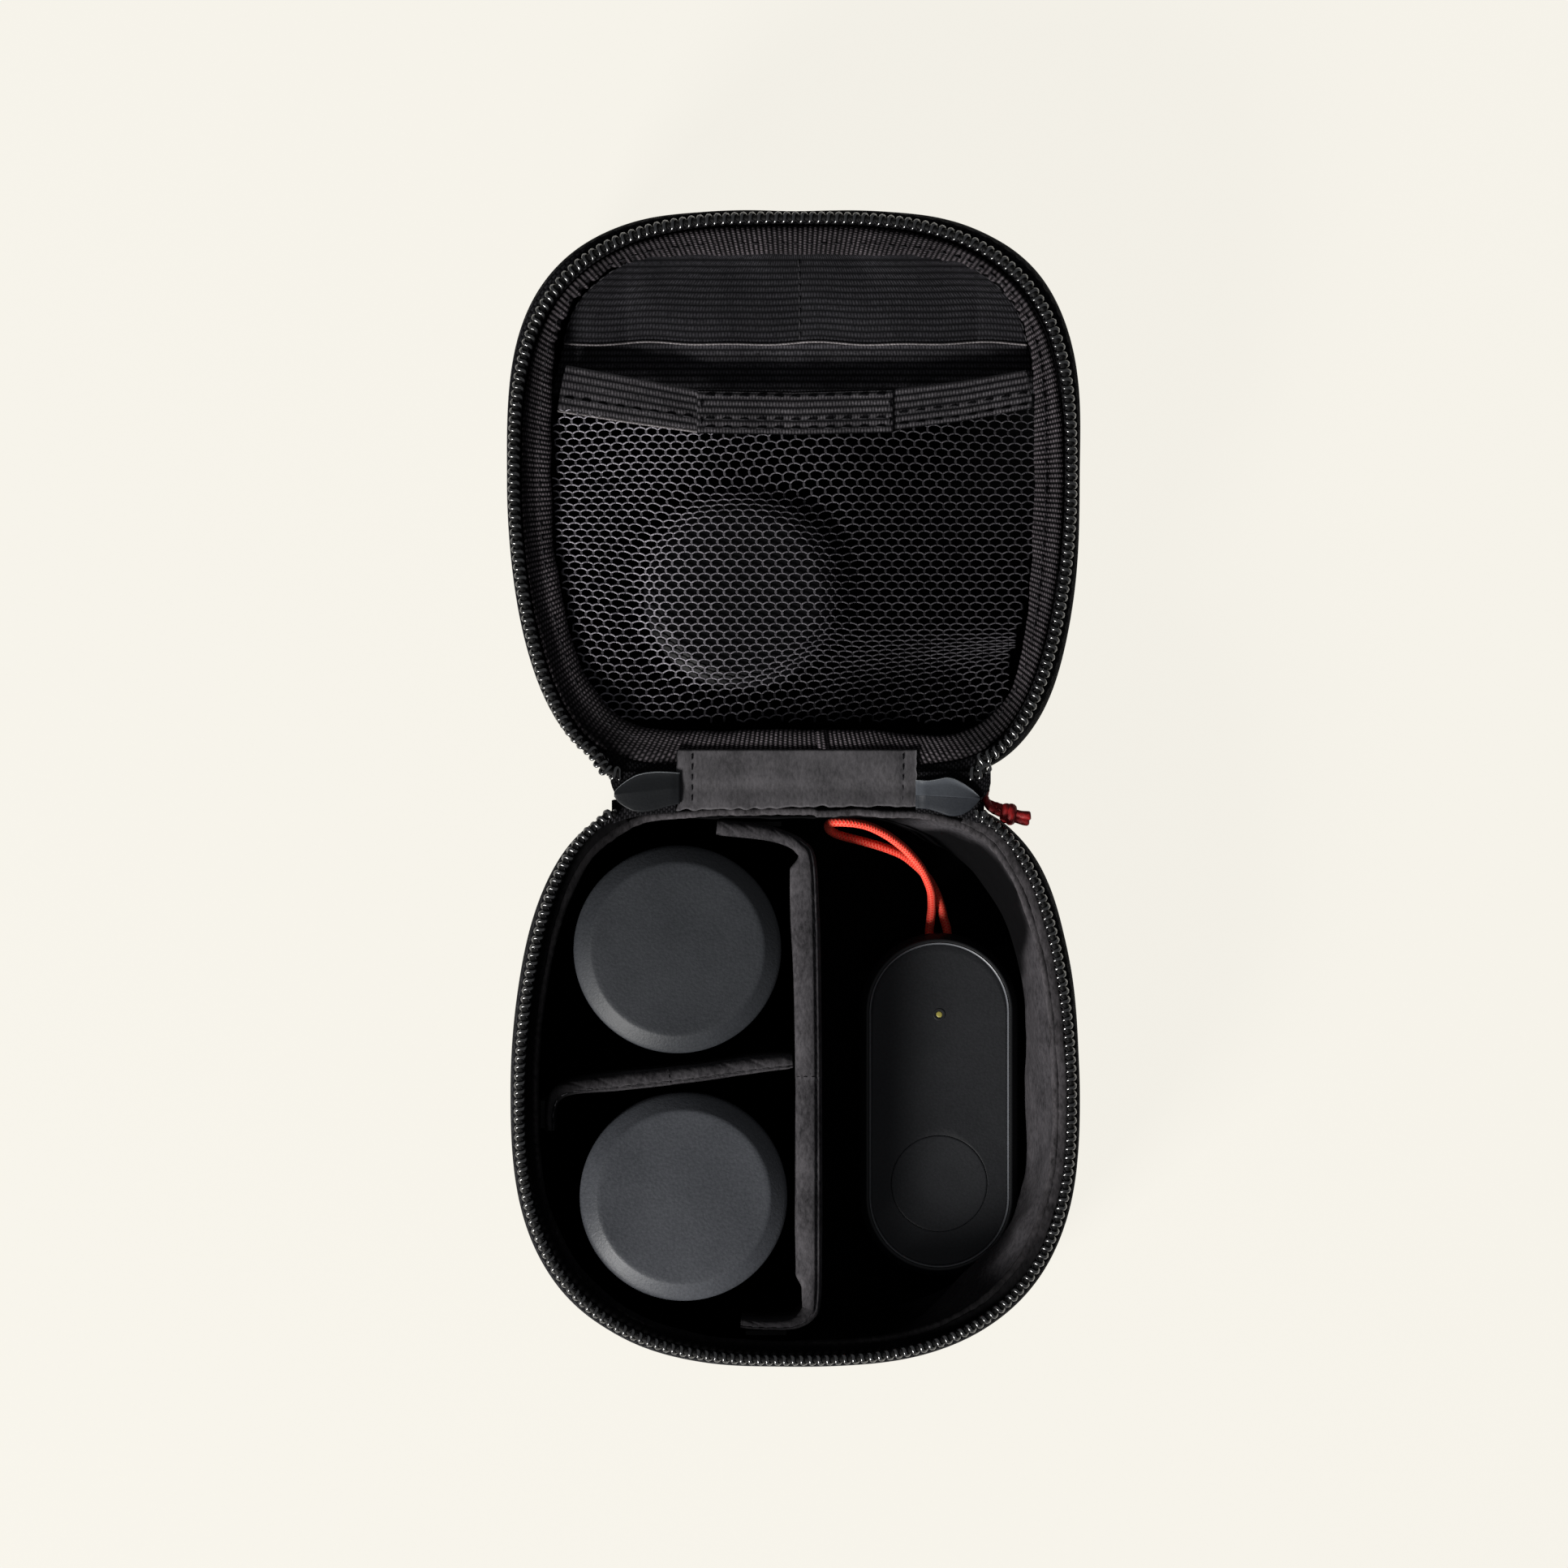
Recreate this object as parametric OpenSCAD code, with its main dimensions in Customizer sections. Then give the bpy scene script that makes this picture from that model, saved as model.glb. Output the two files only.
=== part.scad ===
// Zip-up case for phone camera lenses, laid open flat.
// The hinge axis runs along X at y = 0. The lid lies towards +Y, the base towards -Y,
// and both halves stand on z = 0 with their mouths upwards.

/* [Case outline] */
// Half of the case's width, measured at the zip teeth
zip_half_w = 54.3; // [50:0.1:60]
// Distance from the hinge axis to the widest place
widest_y = 61; // [56:0.5:66]
// Distance from the hinge axis to the far end of the zip
zip_far_y = 112.5; // [110:0.5:120]
// Distance from the hinge axis to the rim on the hinge side
hinge_gap = 2.8; // [2.6:0.1:3.4]
// Squareness of the lid's far corners, 2 is round
lid_squareness = 3.02; // [2.7:0.01:3.3]
// Squareness of the base's far corners, 2 is round
base_squareness = 2.68; // [2.6:0.01:3]
// Squareness of the corners beside the hinge
hinge_squareness = 7; // [6:0.5:8]
// Share of the width that the rim loses towards the hinge
hinge_taper = 0.215; // [0.18:0.005:0.25]

/* [Shells and lining] */
// Height of the shell's rim above the table
shell_h = 34; // [32:0.5:42]
// Wall of the moulded shell
shell_wall = 2.2; // [1.8:0.1:2.4]
// Radius of the edge between the wall and the floor
floor_r = 9; // [7.5:0.5:10]
// How far the side wall bulges out beyond the zip teeth
belly = 2.3; // [0.5:0.1:3]
// Height of the wall's widest place
belly_z = 24; // [18:1:28]
// Share of the bulge that is lost again at the rim
rim_tuck = 0.4; // [0.2:0.05:0.8]
// Extra bulge at the lid's far corners
lid_corner_bulge = 1.3; // [0:0.1:2]
// Thickness of the cloth lining
lining_t = 0.6; // [0.4:0.1:0.8]
// Gap between the shell and its lining
lining_gap = 0.2; // [0.15:0.05:0.3]

/* [Zip and bindings] */
// Height of the zip from the shell's rim to the line where the teeth meet
zip_rise = 4.4; // [4.2:0.1:6]
// Radius of the coil that forms the teeth
coil_r = 1.1; // [0.9:0.05:1.15]
// Length of coil for each rib of its solid
coil_rib = 3.4; // [3:0.1:5]
// Thickness of the zip tape
tape_t = 0.7; // [0.5:0.05:0.9]
// Where the zip begins, as an angle from the middle of the hinge side
zip_end_angle = 41; // [40:0.5:44]
// Width of the ribbed binding round the lid's mouth
lid_binding_w = 5.6; // [4.5:0.1:6]
// Width of the hem round the base's mouth
base_hem_w = 2.2; // [1.8:0.1:2.4]
// Thickness of the bindings
binding_t = 1.2; // [0.8:0.1:1.3]

/* [Hinge] */
// Width of the cloth gusset over the hinge
gusset_w = 47.2; // [40:0.2:50]
// Reach of the gusset over the lid
gusset_lid_y = 6.7; // [6:0.1:7.2]
// Reach of the gusset over the base
gusset_base_y = 4.6; // [4:0.1:5]
// Thickness of the hinge cloth
hinge_cloth_t = 0.7; // [0.5:0.1:0.8]
// Length of the moulded end tabs
tab_l = 13.2; // [10:0.2:14]
// Width of the moulded end tabs
tab_w = 7.8; // [6:0.1:8.4]
// Thickness of the moulded end tabs
tab_t = 0.9; // [0.7:0.1:1.1]

/* [Slider and pull] */
// Length of the zip slider
slider_l = 8.4; // [7.5:0.1:9]
// Thickness of the slider across its two wings
slider_t = 4; // [3.6:0.1:4.2]
// Height of the slider
slider_h = 6.6; // [5.5:0.1:7]
// Length of the pull from its pivot to its knotted end
pull_l = 12.6; // [10:0.2:16]
// Angle of the pull from the hinge axis
pull_angle = -32; // [-36:1:-24]
// Thickness of the pull's knotted end
pull_end_t = 4; // [3:0.1:4.6]

/* [Lid pocket] */
// Distance from the hinge axis to the pocket net's lower edge
net_near_y = 12.6; // [12:0.2:14]
// Distance from the hinge axis to the hem's lower edge, at mid width
hem_near_y = 70.6; // [68:0.2:72]
// Width of the elastic hem along the net
hem_w = 8.4; // [7:0.1:9]
// How far the hem's middle sags below its ends
hem_sag = 3.4; // [2:0.1:4]
// Pitch of the net's openings
net_pitch = 4.7; // [4.7:0.1:6]
// Thickness of the net's threads between openings
net_bar = 0.8; // [0.6:0.05:1]
// Width of the elastic card band
band_w = 18.2; // [15:0.2:19]
// Length of the back panel behind the card band
panel_l = 28; // [24:0.5:30]
// Slope of the back panel down into the lid
panel_slope = 24; // [20:1:26]

/* [Dividers] */
// Place of the long divider from the case's middle
divider_x = 3.2; // [2:0.1:4]
// Thickness of the padded dividers
divider_t = 4.4; // [3.6:0.1:4.8]
// How far the dividers stand above the shell's rim
divider_over_rim = 0.2; // [-2:0.2:0.4]
// Distance from the hinge axis to the cross divider's middle
cross_y = 56.5; // [56.2:0.1:57.5]
// Length of the long divider's end flap beside the hinge
near_flap_l = 18; // [14:0.5:19]
// Length of the long divider's far end flap
far_flap_l = 14; // [10:0.5:15]
// Thickness of the divider's end flaps
flap_t = 2; // [1.6:0.1:2.4]
// Thickness of the hook tape on the flaps
hook_t = 0.9; // [0.7:0.1:1]

/* [Lenses] */
// Radius of the front caps of the two lenses in the base
cap_r = 20.5; // [19:0.1:20.6]
// Radius of the front cap of the lens in the lid pocket
pocket_cap_r = 19.2; // [18:0.1:20]
// How far the lenses in the base stand above the shell's rim
lens_over_rim = 2; // [0.2:0.2:2.2]
// How far the pocket lens stays below the shell's rim
pocket_lens_drop = 2.4; // [2.2:0.2:3.8]
// Wall of the lens caps
cap_wall = 1.3; // [1:0.1:1.5]
// Width of the bevel round a front cap's face
cap_bevel = 3.3; // [2:0.1:4]
// Radial gap between a cap and what it fits over
cap_fit = 0.25; // [0.2:0.05:0.35]
// Radius of the lens mount
mount_r = 14.5; // [13.5:0.1:15]
// Gap from a front cap to the long divider
lens_divider_gap = 3.8; // [2.5:0.1:4.5]

/* [Remote] */
// Width of the remote shutter
remote_w = 31.6; // [28:0.2:32]
// Length of the remote shutter
remote_l = 68.6; // [62:0.2:70]
// Thickness of the remote shutter
remote_h = 12; // [11:0.2:14]
// Distance from the hinge axis to the remote's middle
remote_y = 63.2; // [62:0.1:65]
// Gap from the long divider to the remote
remote_divider_gap = 7.6; // [5:0.1:8]
// Wall of the remote's housing
remote_wall = 1.5; // [1.2:0.1:2]
// Margin round the remote's face plate
face_margin = 2.1; // [1.8:0.1:3]
// Radius of the remote's button
button_r = 9.6; // [8:0.1:10]
// Diameter of the wrist loop's cord
cord_d = 1.6; // [1.2:0.1:2]

/* [Hidden] */

$fn = 72;

// Steps round a shell, and along a strip that follows the rim
shell_steps = 48;
strip_steps = 72;
// Steps of the rounded edge between wall and floor
floor_steps = 4;
// Heights of the wall's rings between the rounded edge and the rim, as shares
wall_shares = [0.35, 0.7, 1];

// Clearance between separate pieces that lie against each other
lie_gap = 0.3;
// Clearance under a piece that stands on the lining
stand_gap = 0.2;

lining_out = shell_wall + lining_gap;
lining_in = lining_out + lining_t;
lining_h = shell_h - 0.5;
floor_z = lining_in;
stand_z = floor_z + stand_gap;
lens_h = shell_h + lens_over_rim - stand_z;
pocket_lens_h = shell_h - pocket_lens_drop - stand_z;

hinge_z = shell_h + zip_rise;
coil_z = hinge_z - coil_r - 0.15;
tape_top_z = coil_z - coil_r - 0.1;
rim_gap = 0.1;
rim_z = shell_h + rim_gap;
binding_inset = 1.4;
binding_under_z = rim_z - 0.9;

hem_inner = binding_inset + base_hem_w;
inner_wall_y = hinge_gap + lining_in;

// Outline of a rim

// Unit point of a rounded square at polar angle u, n sets how square it is
function lobe(u, n) =
    [cos(u), sin(u)] / pow(pow(abs(cos(u)), n) + pow(abs(sin(u)), n), 1 / n);

// Point of the rim at polar angle u, an inset inside the line of the teeth
function rim_point(u, inset, far_n) =
    let (v = lobe(u, sin(u) >= 0 ? far_n : hinge_squareness))
    sin(u) >= 0
        ? [(zip_half_w - inset) * v.x, widest_y + (zip_far_y - inset - widest_y) * v.y]
        : [(zip_half_w - inset) * v.x * (1 - hinge_taper * v.y * v.y),
           widest_y + (widest_y - hinge_gap - inset) * v.y];

// Half of the rim's width at a distance d from the hinge axis
function half_width(d, inset, far_n) =
    let (far = d >= widest_y,
         v = far ? (d - widest_y) / (zip_far_y - inset - widest_y)
                 : (widest_y - d) / (widest_y - hinge_gap - inset),
         n = far ? far_n : hinge_squareness)
    (zip_half_w - inset) * pow(max(0, 1 - pow(v, n)), 1 / n)
        * (far ? 1 : 1 - hinge_taper * v * v);

// Share of the bulge that the wall has at height z
function rise(z) =
    z < belly_z ? 1 - pow(1 - z / belly_z, 2)
                : 1 - rim_tuck * pow((z - belly_z) / (shell_h - belly_z), 2);

// Bulge of the wall at polar angle u and height z, none on the hinge side
function bulge(u, z, corner) =
    (belly * (1 - pow(max(0, -lobe(u, hinge_squareness).y), 4))
        + (sin(u) > 0 ? corner * pow(sin(2 * u), 2) : 0)) * rise(z);

// Inset and height of the wall's rings, a depth below its outer face
function wall_rings(depth, top) = concat(
    [for (i = [0 : floor_steps]) let (a = 90 - i * 90 / floor_steps)
        [floor_r - (floor_r - depth) * cos(a), floor_r - (floor_r - depth) * sin(a)]],
    [for (share = wall_shares) [depth, floor_r + (top - floor_r) * share]]);

function reversed(list) = [for (i = [len(list) - 1 : -1 : 0]) list[i]];

function flat(lists) = [for (list = lists) each list];

// Skinned solids

// Solid through rings of equal length, capped at both ends or joined end to end
module skin(rings, joined = false) {
    m = len(rings[0]);
    n = len(rings);
    steps = joined ? n : n - 1;
    sides = [for (k = [0 : steps - 1], i = [0 : m - 1])
        let (a = k * m + i, b = k * m + (i + 1) % m,
             c = ((k + 1) % n) * m + (i + 1) % m, d = ((k + 1) % n) * m + i)
        each [[a, d, c], [a, c, b]]];
    caps = joined ? [] : [[for (i = [0 : m - 1]) i],
        [for (i = [m - 1 : -1 : 0]) (n - 1) * m + i]];
    polyhedron(points = flat(rings), faces = concat(sides, caps));
}

// Cup between two depths of the wall, open at the top
module cup(depth_out, depth_in, top, far_n, corner) {
    levels = concat(wall_rings(depth_out, top), reversed(wall_rings(depth_in, top)));
    skin([for (level = levels) [for (i = [0 : shell_steps - 1])
        let (u = i * 360 / shell_steps)
        [each rim_point(u, level.x - bulge(u, level.y, corner), far_n), level.y]]]);
}

// Strip that follows the whole rim, profile points are inset and height
module rim_ring(profile, far_n) {
    skin([for (i = [0 : strip_steps - 1]) let (u = i * 360 / strip_steps)
        [for (p = profile) [each rim_point(u, p.x, far_n), p.y]]], joined = true);
}

// Strip along the zip only, from one side of the hinge round to the other
module zip_strip(profile, far_n) {
    u0 = zip_end_angle - 90;
    turn = 360 - 2 * zip_end_angle;
    skin([for (i = [0 : strip_steps]) let (u = u0 + turn * i / strip_steps)
        [for (p = profile) [each rim_point(u, p.x, far_n), p.y]]]);
}

// Distances along the line of teeth, at every degree from one end to the other
function zip_angles() = [for (u = [zip_end_angle - 90 : 1 : 270 - zip_end_angle]) u];
function run_lengths(points) =
    [for (i = 0, s = 0; i < len(points);
        s = s + (i + 1 < len(points) ? norm(points[i + 1] - points[i]) : 0), i = i + 1) s];

// Coil of teeth as one ribbed bead
module coil_bead(far_n) {
    angles = zip_angles();
    runs = run_lengths([for (u = angles) rim_point(u, 0, far_n)]);
    table = [for (i = [0 : len(angles) - 1]) [runs[i], angles[i]]];
    total = runs[len(runs) - 1];
    ribs = floor(total / coil_rib);
    skin([for (k = [0 : 2 * ribs])
        let (u = lookup(total * k / (2 * ribs), table),
             r = k % 2 == 0 ? 0.7 * coil_r : coil_r)
        [for (a = [30 : 60 : 330])
            [each rim_point(u, r * cos(a), far_n), coil_z + r * sin(a)]]]);
}

// The base lies on the -Y side of the hinge
module on_base_side() mirror([0, 1, 0]) children();

// Shells, linings, zip and bindings

module base_shell() color([0.1, 0.1, 0.1])
    on_base_side() cup(0, shell_wall, shell_h, base_squareness, 0);

module lid_shell() color([0.1, 0.1, 0.1])
    cup(0, shell_wall, shell_h, lid_squareness, lid_corner_bulge);

module base_lining() color([0.27, 0.26, 0.26])
    on_base_side() cup(lining_out, lining_in, lining_h, base_squareness, 0);

module lid_lining() color([0.16, 0.16, 0.16])
    cup(lining_out, lining_in, lining_h, lid_squareness, lid_corner_bulge);

// Tape that stands on the rim and carries the coil
tape_profile = [[-tape_t / 2, rim_z], [binding_inset - 0.2, rim_z],
    [binding_inset - 0.2, rim_z + tape_t], [tape_t / 2, rim_z + tape_t],
    [tape_t / 2, tape_top_z], [-tape_t / 2, tape_top_z]];

module base_zip_tape() color([0.08, 0.08, 0.08])
    on_base_side() zip_strip(tape_profile, base_squareness);

module lid_zip_tape() color([0.08, 0.08, 0.08])
    zip_strip(tape_profile, lid_squareness);

module base_zip_teeth() color([0.14, 0.14, 0.14])
    on_base_side() coil_bead(base_squareness);

module lid_zip_teeth() color([0.14, 0.14, 0.14])
    coil_bead(lid_squareness);

module base_hem() color([0.22, 0.21, 0.21])
    on_base_side() rim_ring([[binding_inset, rim_z], [hem_inner, rim_z],
        [hem_inner, rim_z + 0.6], [hem_inner - 0.5, rim_z + binding_t],
        [binding_inset, rim_z + 0.8]], base_squareness);

// Ribbed webbing that slopes inwards over the mouth of the lid
module lid_binding() color([0.12, 0.12, 0.12]) {
    inner = binding_inset + lid_binding_w;
    rim_ring([[binding_inset, rim_z], [binding_inset + 2, rim_z - 0.1],
        [inner - 0.6, binding_under_z], [inner, binding_under_z + 0.4],
        [inner, binding_under_z + binding_t], [binding_inset + 1.2, rim_z + binding_t + 0.2],
        [binding_inset, rim_z + 0.8]], lid_squareness);
}

// Hinge cloth and end tabs

gusset_z = rim_z + binding_t + 0.6;

module hinge_gusset() color([0.27, 0.26, 0.27])
    translate([-gusset_w / 2, 0, 0]) rotate([90, 0, 90]) linear_extrude(gusset_w)
        polygon([[-gusset_base_y, gusset_z], [-1, gusset_z - 0.6], [1, gusset_z - 0.6],
            [gusset_lid_y, gusset_z], [gusset_lid_y, gusset_z + hinge_cloth_t],
            [1, gusset_z + hinge_cloth_t - 0.6], [-1, gusset_z + hinge_cloth_t - 0.6],
            [-gusset_base_y, gusset_z + hinge_cloth_t]]);

// Outer cloth between the two hinge walls, a channel below the axis
outer_panel_w = gusset_w + 2;
outer_panel_top = shell_h - 1;
outer_panel_leg = 7;

module hinge_outer_panel() color([0.1, 0.1, 0.1]) {
    y1 = hinge_gap - lie_gap;
    y0 = y1 - hinge_cloth_t;
    top = outer_panel_top;
    translate([-outer_panel_w / 2, 0, 0]) rotate([90, 0, 90]) linear_extrude(outer_panel_w)
        polygon([[-y1, top - outer_panel_leg], [-y0, top - outer_panel_leg],
            [-y0, top - hinge_cloth_t], [y0, top - hinge_cloth_t],
            [y0, top - outer_panel_leg], [y1, top - outer_panel_leg],
            [y1, top], [-y1, top]]);
}

tab_x0 = gusset_w / 2 + lie_gap;
tab_under_z = hinge_z - 0.3 - tab_t - 0.5;
tab_mid_y = -1.1;
// Half width of a tab along its length, square at the gusset and pointed at the nose
tab_outline = [[0, 0.86], [0.18, 0.84], [0.36, 0.97], [0.48, 1], [0.62, 0.94],
    [0.76, 0.8], [0.88, 0.6], [0.96, 0.36], [1, 0.12]];

// Moulded tab, creased along its length
module hinge_tab() {
    skin([for (p = tab_outline) let (x = tab_x0 + p.x * tab_l, h = p.y * tab_w / 2)
        [[x, tab_mid_y - h, tab_under_z], [x, tab_mid_y + h, tab_under_z],
         [x, tab_mid_y + h, tab_under_z + tab_t],
         [x, tab_mid_y, tab_under_z + tab_t + 0.5],
         [x, tab_mid_y - h, tab_under_z + tab_t]]]);
}

module hinge_tab_right() color([0.24, 0.26, 0.28]) hinge_tab();
module hinge_tab_left() color([0.12, 0.13, 0.13]) mirror([1, 0, 0]) hinge_tab();

// Slider parked at the end of the zip, between the hinge walls

slider_x1 = tab_x0 + tab_l - 2;
slider_x0 = slider_x1 - slider_l;
slider_top = tab_under_z - lie_gap;
slider_mid_z = slider_top - slider_h / 2;
slider_wing = 1;
post_l = 2.4;
pivot_r = 0.55;
pull_eye_r = 1.6;
pivot_x = slider_x1 + pull_eye_r + lie_gap;

module zip_slider_body() color([0.1, 0.1, 0.11]) {
    for (side = [-1, 1])
        translate([slider_x0, side > 0 ? slider_t / 2 - slider_wing : -slider_t / 2,
                   slider_top - slider_h])
            cube([slider_l, slider_wing, slider_h]);
    translate([slider_x0, -slider_t / 2 + slider_wing, slider_mid_z - 0.8])
        cube([post_l, slider_t - 2 * slider_wing, 1.6]);
}

// Yoke between the wings at the slider's outer end, with the pin that holds the pull
bridge_gap = 2.6;
ear_t = 0.8;
yoke_l = 0.9;

module zip_slider_bridge() color([0.12, 0.12, 0.13]) {
    w = slider_t - 2 * slider_wing;
    low = slider_mid_z - bridge_gap / 2 - ear_t;
    high = bridge_gap + 2 * ear_t;
    difference() {
        union() {
            translate([slider_x1 - yoke_l, -w / 2, low])
                cube([pivot_x - slider_x1 + yoke_l, w, high]);
            translate([pivot_x, 0, low]) cylinder(h = high, r = w / 2);
        }
        translate([slider_x1, -w, low + ear_t]) cube([2 * pull_eye_r + w, 2 * w, bridge_gap]);
    }
    translate([pivot_x, 0, low + ear_t / 2]) cylinder(h = high - ear_t, r = pivot_r);
}

// Cord pull: an eye on the pin, a neck, and a knotted end. Half widths along its length
pull_shape = [[0.12, 0.22], [0.3, 0.28], [0.5, 0.42], [0.66, 0.8], [0.76, 1],
    [0.86, 0.72], [0.92, 0.84], [1, 0.62]];

module zip_pull() color([0.45, 0.04, 0.04])
    translate([pivot_x, 0, slider_mid_z]) rotate([0, 0, pull_angle]) {
        difference() {
            translate([0, 0, -1]) cylinder(h = 2, r = pull_eye_r);
            translate([0, 0, -2]) cylinder(h = 4, r = pivot_r + 0.1);
        }
        translate([pivot_r + 0.4, -0.7, -0.8]) cube([pull_l * 0.14, 1.4, 1.6]);
        skin([for (p = pull_shape) [for (a = [0 : 45 : 315])
            [p.x * pull_l, p.y * pull_end_t / 2 * cos(a),
             p.y * pull_end_t / 2 * 0.8 * sin(a)]]]);
    }

// Lid pocket and card band

net_t = 0.5;
net_top_z = binding_under_z - lie_gap;
hem_inset = binding_inset + lid_binding_w + 0.3;
net_inset = hem_inset - 0.9;
cloth_t = 1;

// Line of the hem's lower edge at a place across the lid
function hem_line(x) = hem_near_y + hem_sag * pow(x / zip_half_w, 2);

// Outline inside the lid's rim as a polygon
module rim_outline(inset, far_n)
    polygon([for (i = [0 : strip_steps - 1]) rim_point(i * 360 / strip_steps, inset, far_n)]);

// Band along the hem line from one height to another
module hem_band(half_w, low, high) {
    steps = 12;
    polygon(concat(
        [for (i = [0 : steps]) let (x = -half_w + 2 * half_w * i / steps)
            [x, hem_line(x) + low]],
        [for (i = [steps : -1 : 0]) let (x = -half_w + 2 * half_w * i / steps)
            [x, hem_line(x) + high]]));
}

net_hole_r = (net_pitch - net_bar) / sqrt(3);
net_row = net_pitch * sqrt(3) / 2;
net_rows = floor((hem_near_y - net_near_y - net_pitch) / net_row);
net_cols = floor(zip_half_w / net_pitch);

module pocket_net() color([0.2, 0.2, 0.2])
    translate([0, 0, net_top_z - net_t]) linear_extrude(net_t) difference() {
        intersection() {
            rim_outline(net_inset, lid_squareness);
            hem_band(zip_half_w, net_near_y - hem_near_y, -lie_gap);
        }
        for (row = [0 : net_rows], col = [-net_cols : net_cols])
            let (x = (col + (row % 2) / 2) * net_pitch,
                 y = net_near_y + net_pitch * 0.8 + row * net_row,
                 room = min(half_width(y - net_pitch / 2, net_inset, lid_squareness),
                            half_width(y + net_pitch / 2, net_inset, lid_squareness)))
            if (abs(x) + net_pitch * 0.7 < room && y + net_pitch * 0.8 < hem_line(x))
                translate([x, y]) rotate(90) circle(r = net_hole_r, $fn = 6);
    }

module pocket_hem() color([0.15, 0.15, 0.15])
    translate([0, 0, net_top_z - net_t]) linear_extrude(cloth_t) intersection() {
        rim_outline(hem_inset, lid_squareness);
        hem_band(zip_half_w, 0, hem_w);
    }

// Overlap where the hem's elastic is joined
patch_w = 38;
patch_t = 0.5;

module pocket_hem_patch() color([0.17, 0.17, 0.17])
    translate([0, 0, net_top_z - net_t + cloth_t]) linear_extrude(patch_t)
        hem_band(patch_w / 2, -0.6, hem_w - 1.6);

// Slab that slopes down into the lid, from a distance to a distance nearer the hinge
panel_top_z = binding_under_z - lie_gap;
band_far_y = zip_far_y - net_inset - lie_gap;
module sloped_slab(length, lift, thick) {
    intersection() {
        translate([0, band_far_y, panel_top_z + lift]) rotate([panel_slope, 0, 0])
            translate([-zip_half_w, -length, -thick]) cube([2 * zip_half_w, length, thick]);
        linear_extrude(hinge_z) rim_outline(net_inset, lid_squareness);
    }
}

module card_back_panel() color([0.14, 0.14, 0.14])
    sloped_slab(panel_l / cos(panel_slope), -cloth_t - lie_gap, cloth_t);

module card_band() color([0.12, 0.12, 0.12])
    sloped_slab(band_w / cos(panel_slope), 0, cloth_t);

// Dividers

divider_top = shell_h + divider_over_rim;
// Places of the two ends of the long divider's straight run
long_near_y = -(inner_wall_y + hook_t + flap_t + 2 * lie_gap + divider_t / 2 + 1.2);
long_far_y = -(zip_far_y - lining_in - hook_t - flap_t - lie_gap - divider_t / 2 - 0.8);

// Padded panel through stations of place, half thickness and lowest point
module padded_panel(stations, top) {
    n = len(stations);
    skin([for (i = [0 : n - 1])
        let (s = stations[i],
             before = stations[max(0, i - 1)], after = stations[min(n - 1, i + 1)],
             run = [after[0] - before[0], after[1] - before[1]],
             side = [-run.y, run.x] / norm(run), h = s[2], low = s[3])
        [for (p = [[-0.7, low], [0.7, low], [1, low + 1], [1, top - 1.6],
                   [0.75, top - 0.5], [0, top], [-0.75, top - 0.5], [-1, top - 1.6],
                   [-1, low + 1]])
            [s[0] + p.x * h * side.x, s[1] + p.x * h * side.y, p.y]]]);
}

// Lowest points of the panels, clear of the rounded edge of the floor
panel_low = floor_z + stand_gap;
flap_low = floor_r + 1;

near_flap_y = -(inner_wall_y + hook_t + 2 * lie_gap + flap_t / 2 + 0.2);
far_flap_y = -(zip_far_y - lining_in - hook_t - 2 * lie_gap - flap_t / 2 - 0.9);

module divider_long() color([0.26, 0.25, 0.25])
    padded_panel([
        [divider_x - near_flap_l, near_flap_y, flap_t / 2, flap_low],
        [divider_x - near_flap_l / 2, near_flap_y - 0.2, flap_t / 2, flap_low],
        [divider_x - 4, near_flap_y - 1, flap_t * 0.6, flap_low],
        [divider_x - 1, near_flap_y - 2.6, divider_t * 0.36, flap_low],
        [divider_x, near_flap_y - 5.6, divider_t * 0.44, panel_low + 1],
        [divider_x, -cross_y * 0.5, divider_t / 2, panel_low],
        [divider_x, -cross_y, divider_t * 0.47, panel_low],
        [divider_x, -cross_y * 1.45, divider_t / 2, panel_low],
        [divider_x, far_flap_y + 6, divider_t * 0.46, panel_low + 1],
        [divider_x - 0.6, far_flap_y + 2.6, divider_t * 0.38, flap_low],
        [divider_x - 3.4, far_flap_y + 0.6, flap_t * 0.6, flap_low],
        [divider_x - far_flap_l / 2 - 1, far_flap_y + 0.2, flap_t / 2, flap_low],
        [divider_x - far_flap_l, far_flap_y + 0.5, flap_t / 2, flap_low]],
        divider_top);

// Hook tape on the flaps: where it starts, its distance from the top, and how much
// shorter than its flap it is
hook_low = flap_low + 2;
hook_drop = 4;
near_hook_short = 7;
far_hook_short = 6;

// Hook tape between the long divider's flaps and the wall
module divider_long_hooks() color([0.08, 0.08, 0.08]) {
    hooks_h = divider_top - hook_drop - hook_low;
    translate([divider_x - near_flap_l + 1, near_flap_y + flap_t / 2 + 0.1, hook_low])
        cube([near_flap_l - near_hook_short, hook_t, hooks_h]);
    translate([divider_x - far_flap_l + 1, far_flap_y - flap_t / 2 - hook_t - 0.1,
               hook_low])
        cube([far_flap_l - far_hook_short, hook_t, hooks_h]);
}

cross_wall_x = half_width(cross_y + 3, lining_in, base_squareness);
cross_x1 = divider_x - divider_t / 2 - lie_gap;
cross_flap_x = -(cross_wall_x - hook_t - 2 * lie_gap - flap_t / 2 - 0.4);
// Reach of the cross divider's flap, and length of its hook tape
cross_flap_l = 11;
cross_hook_l = 5.4;

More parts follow.
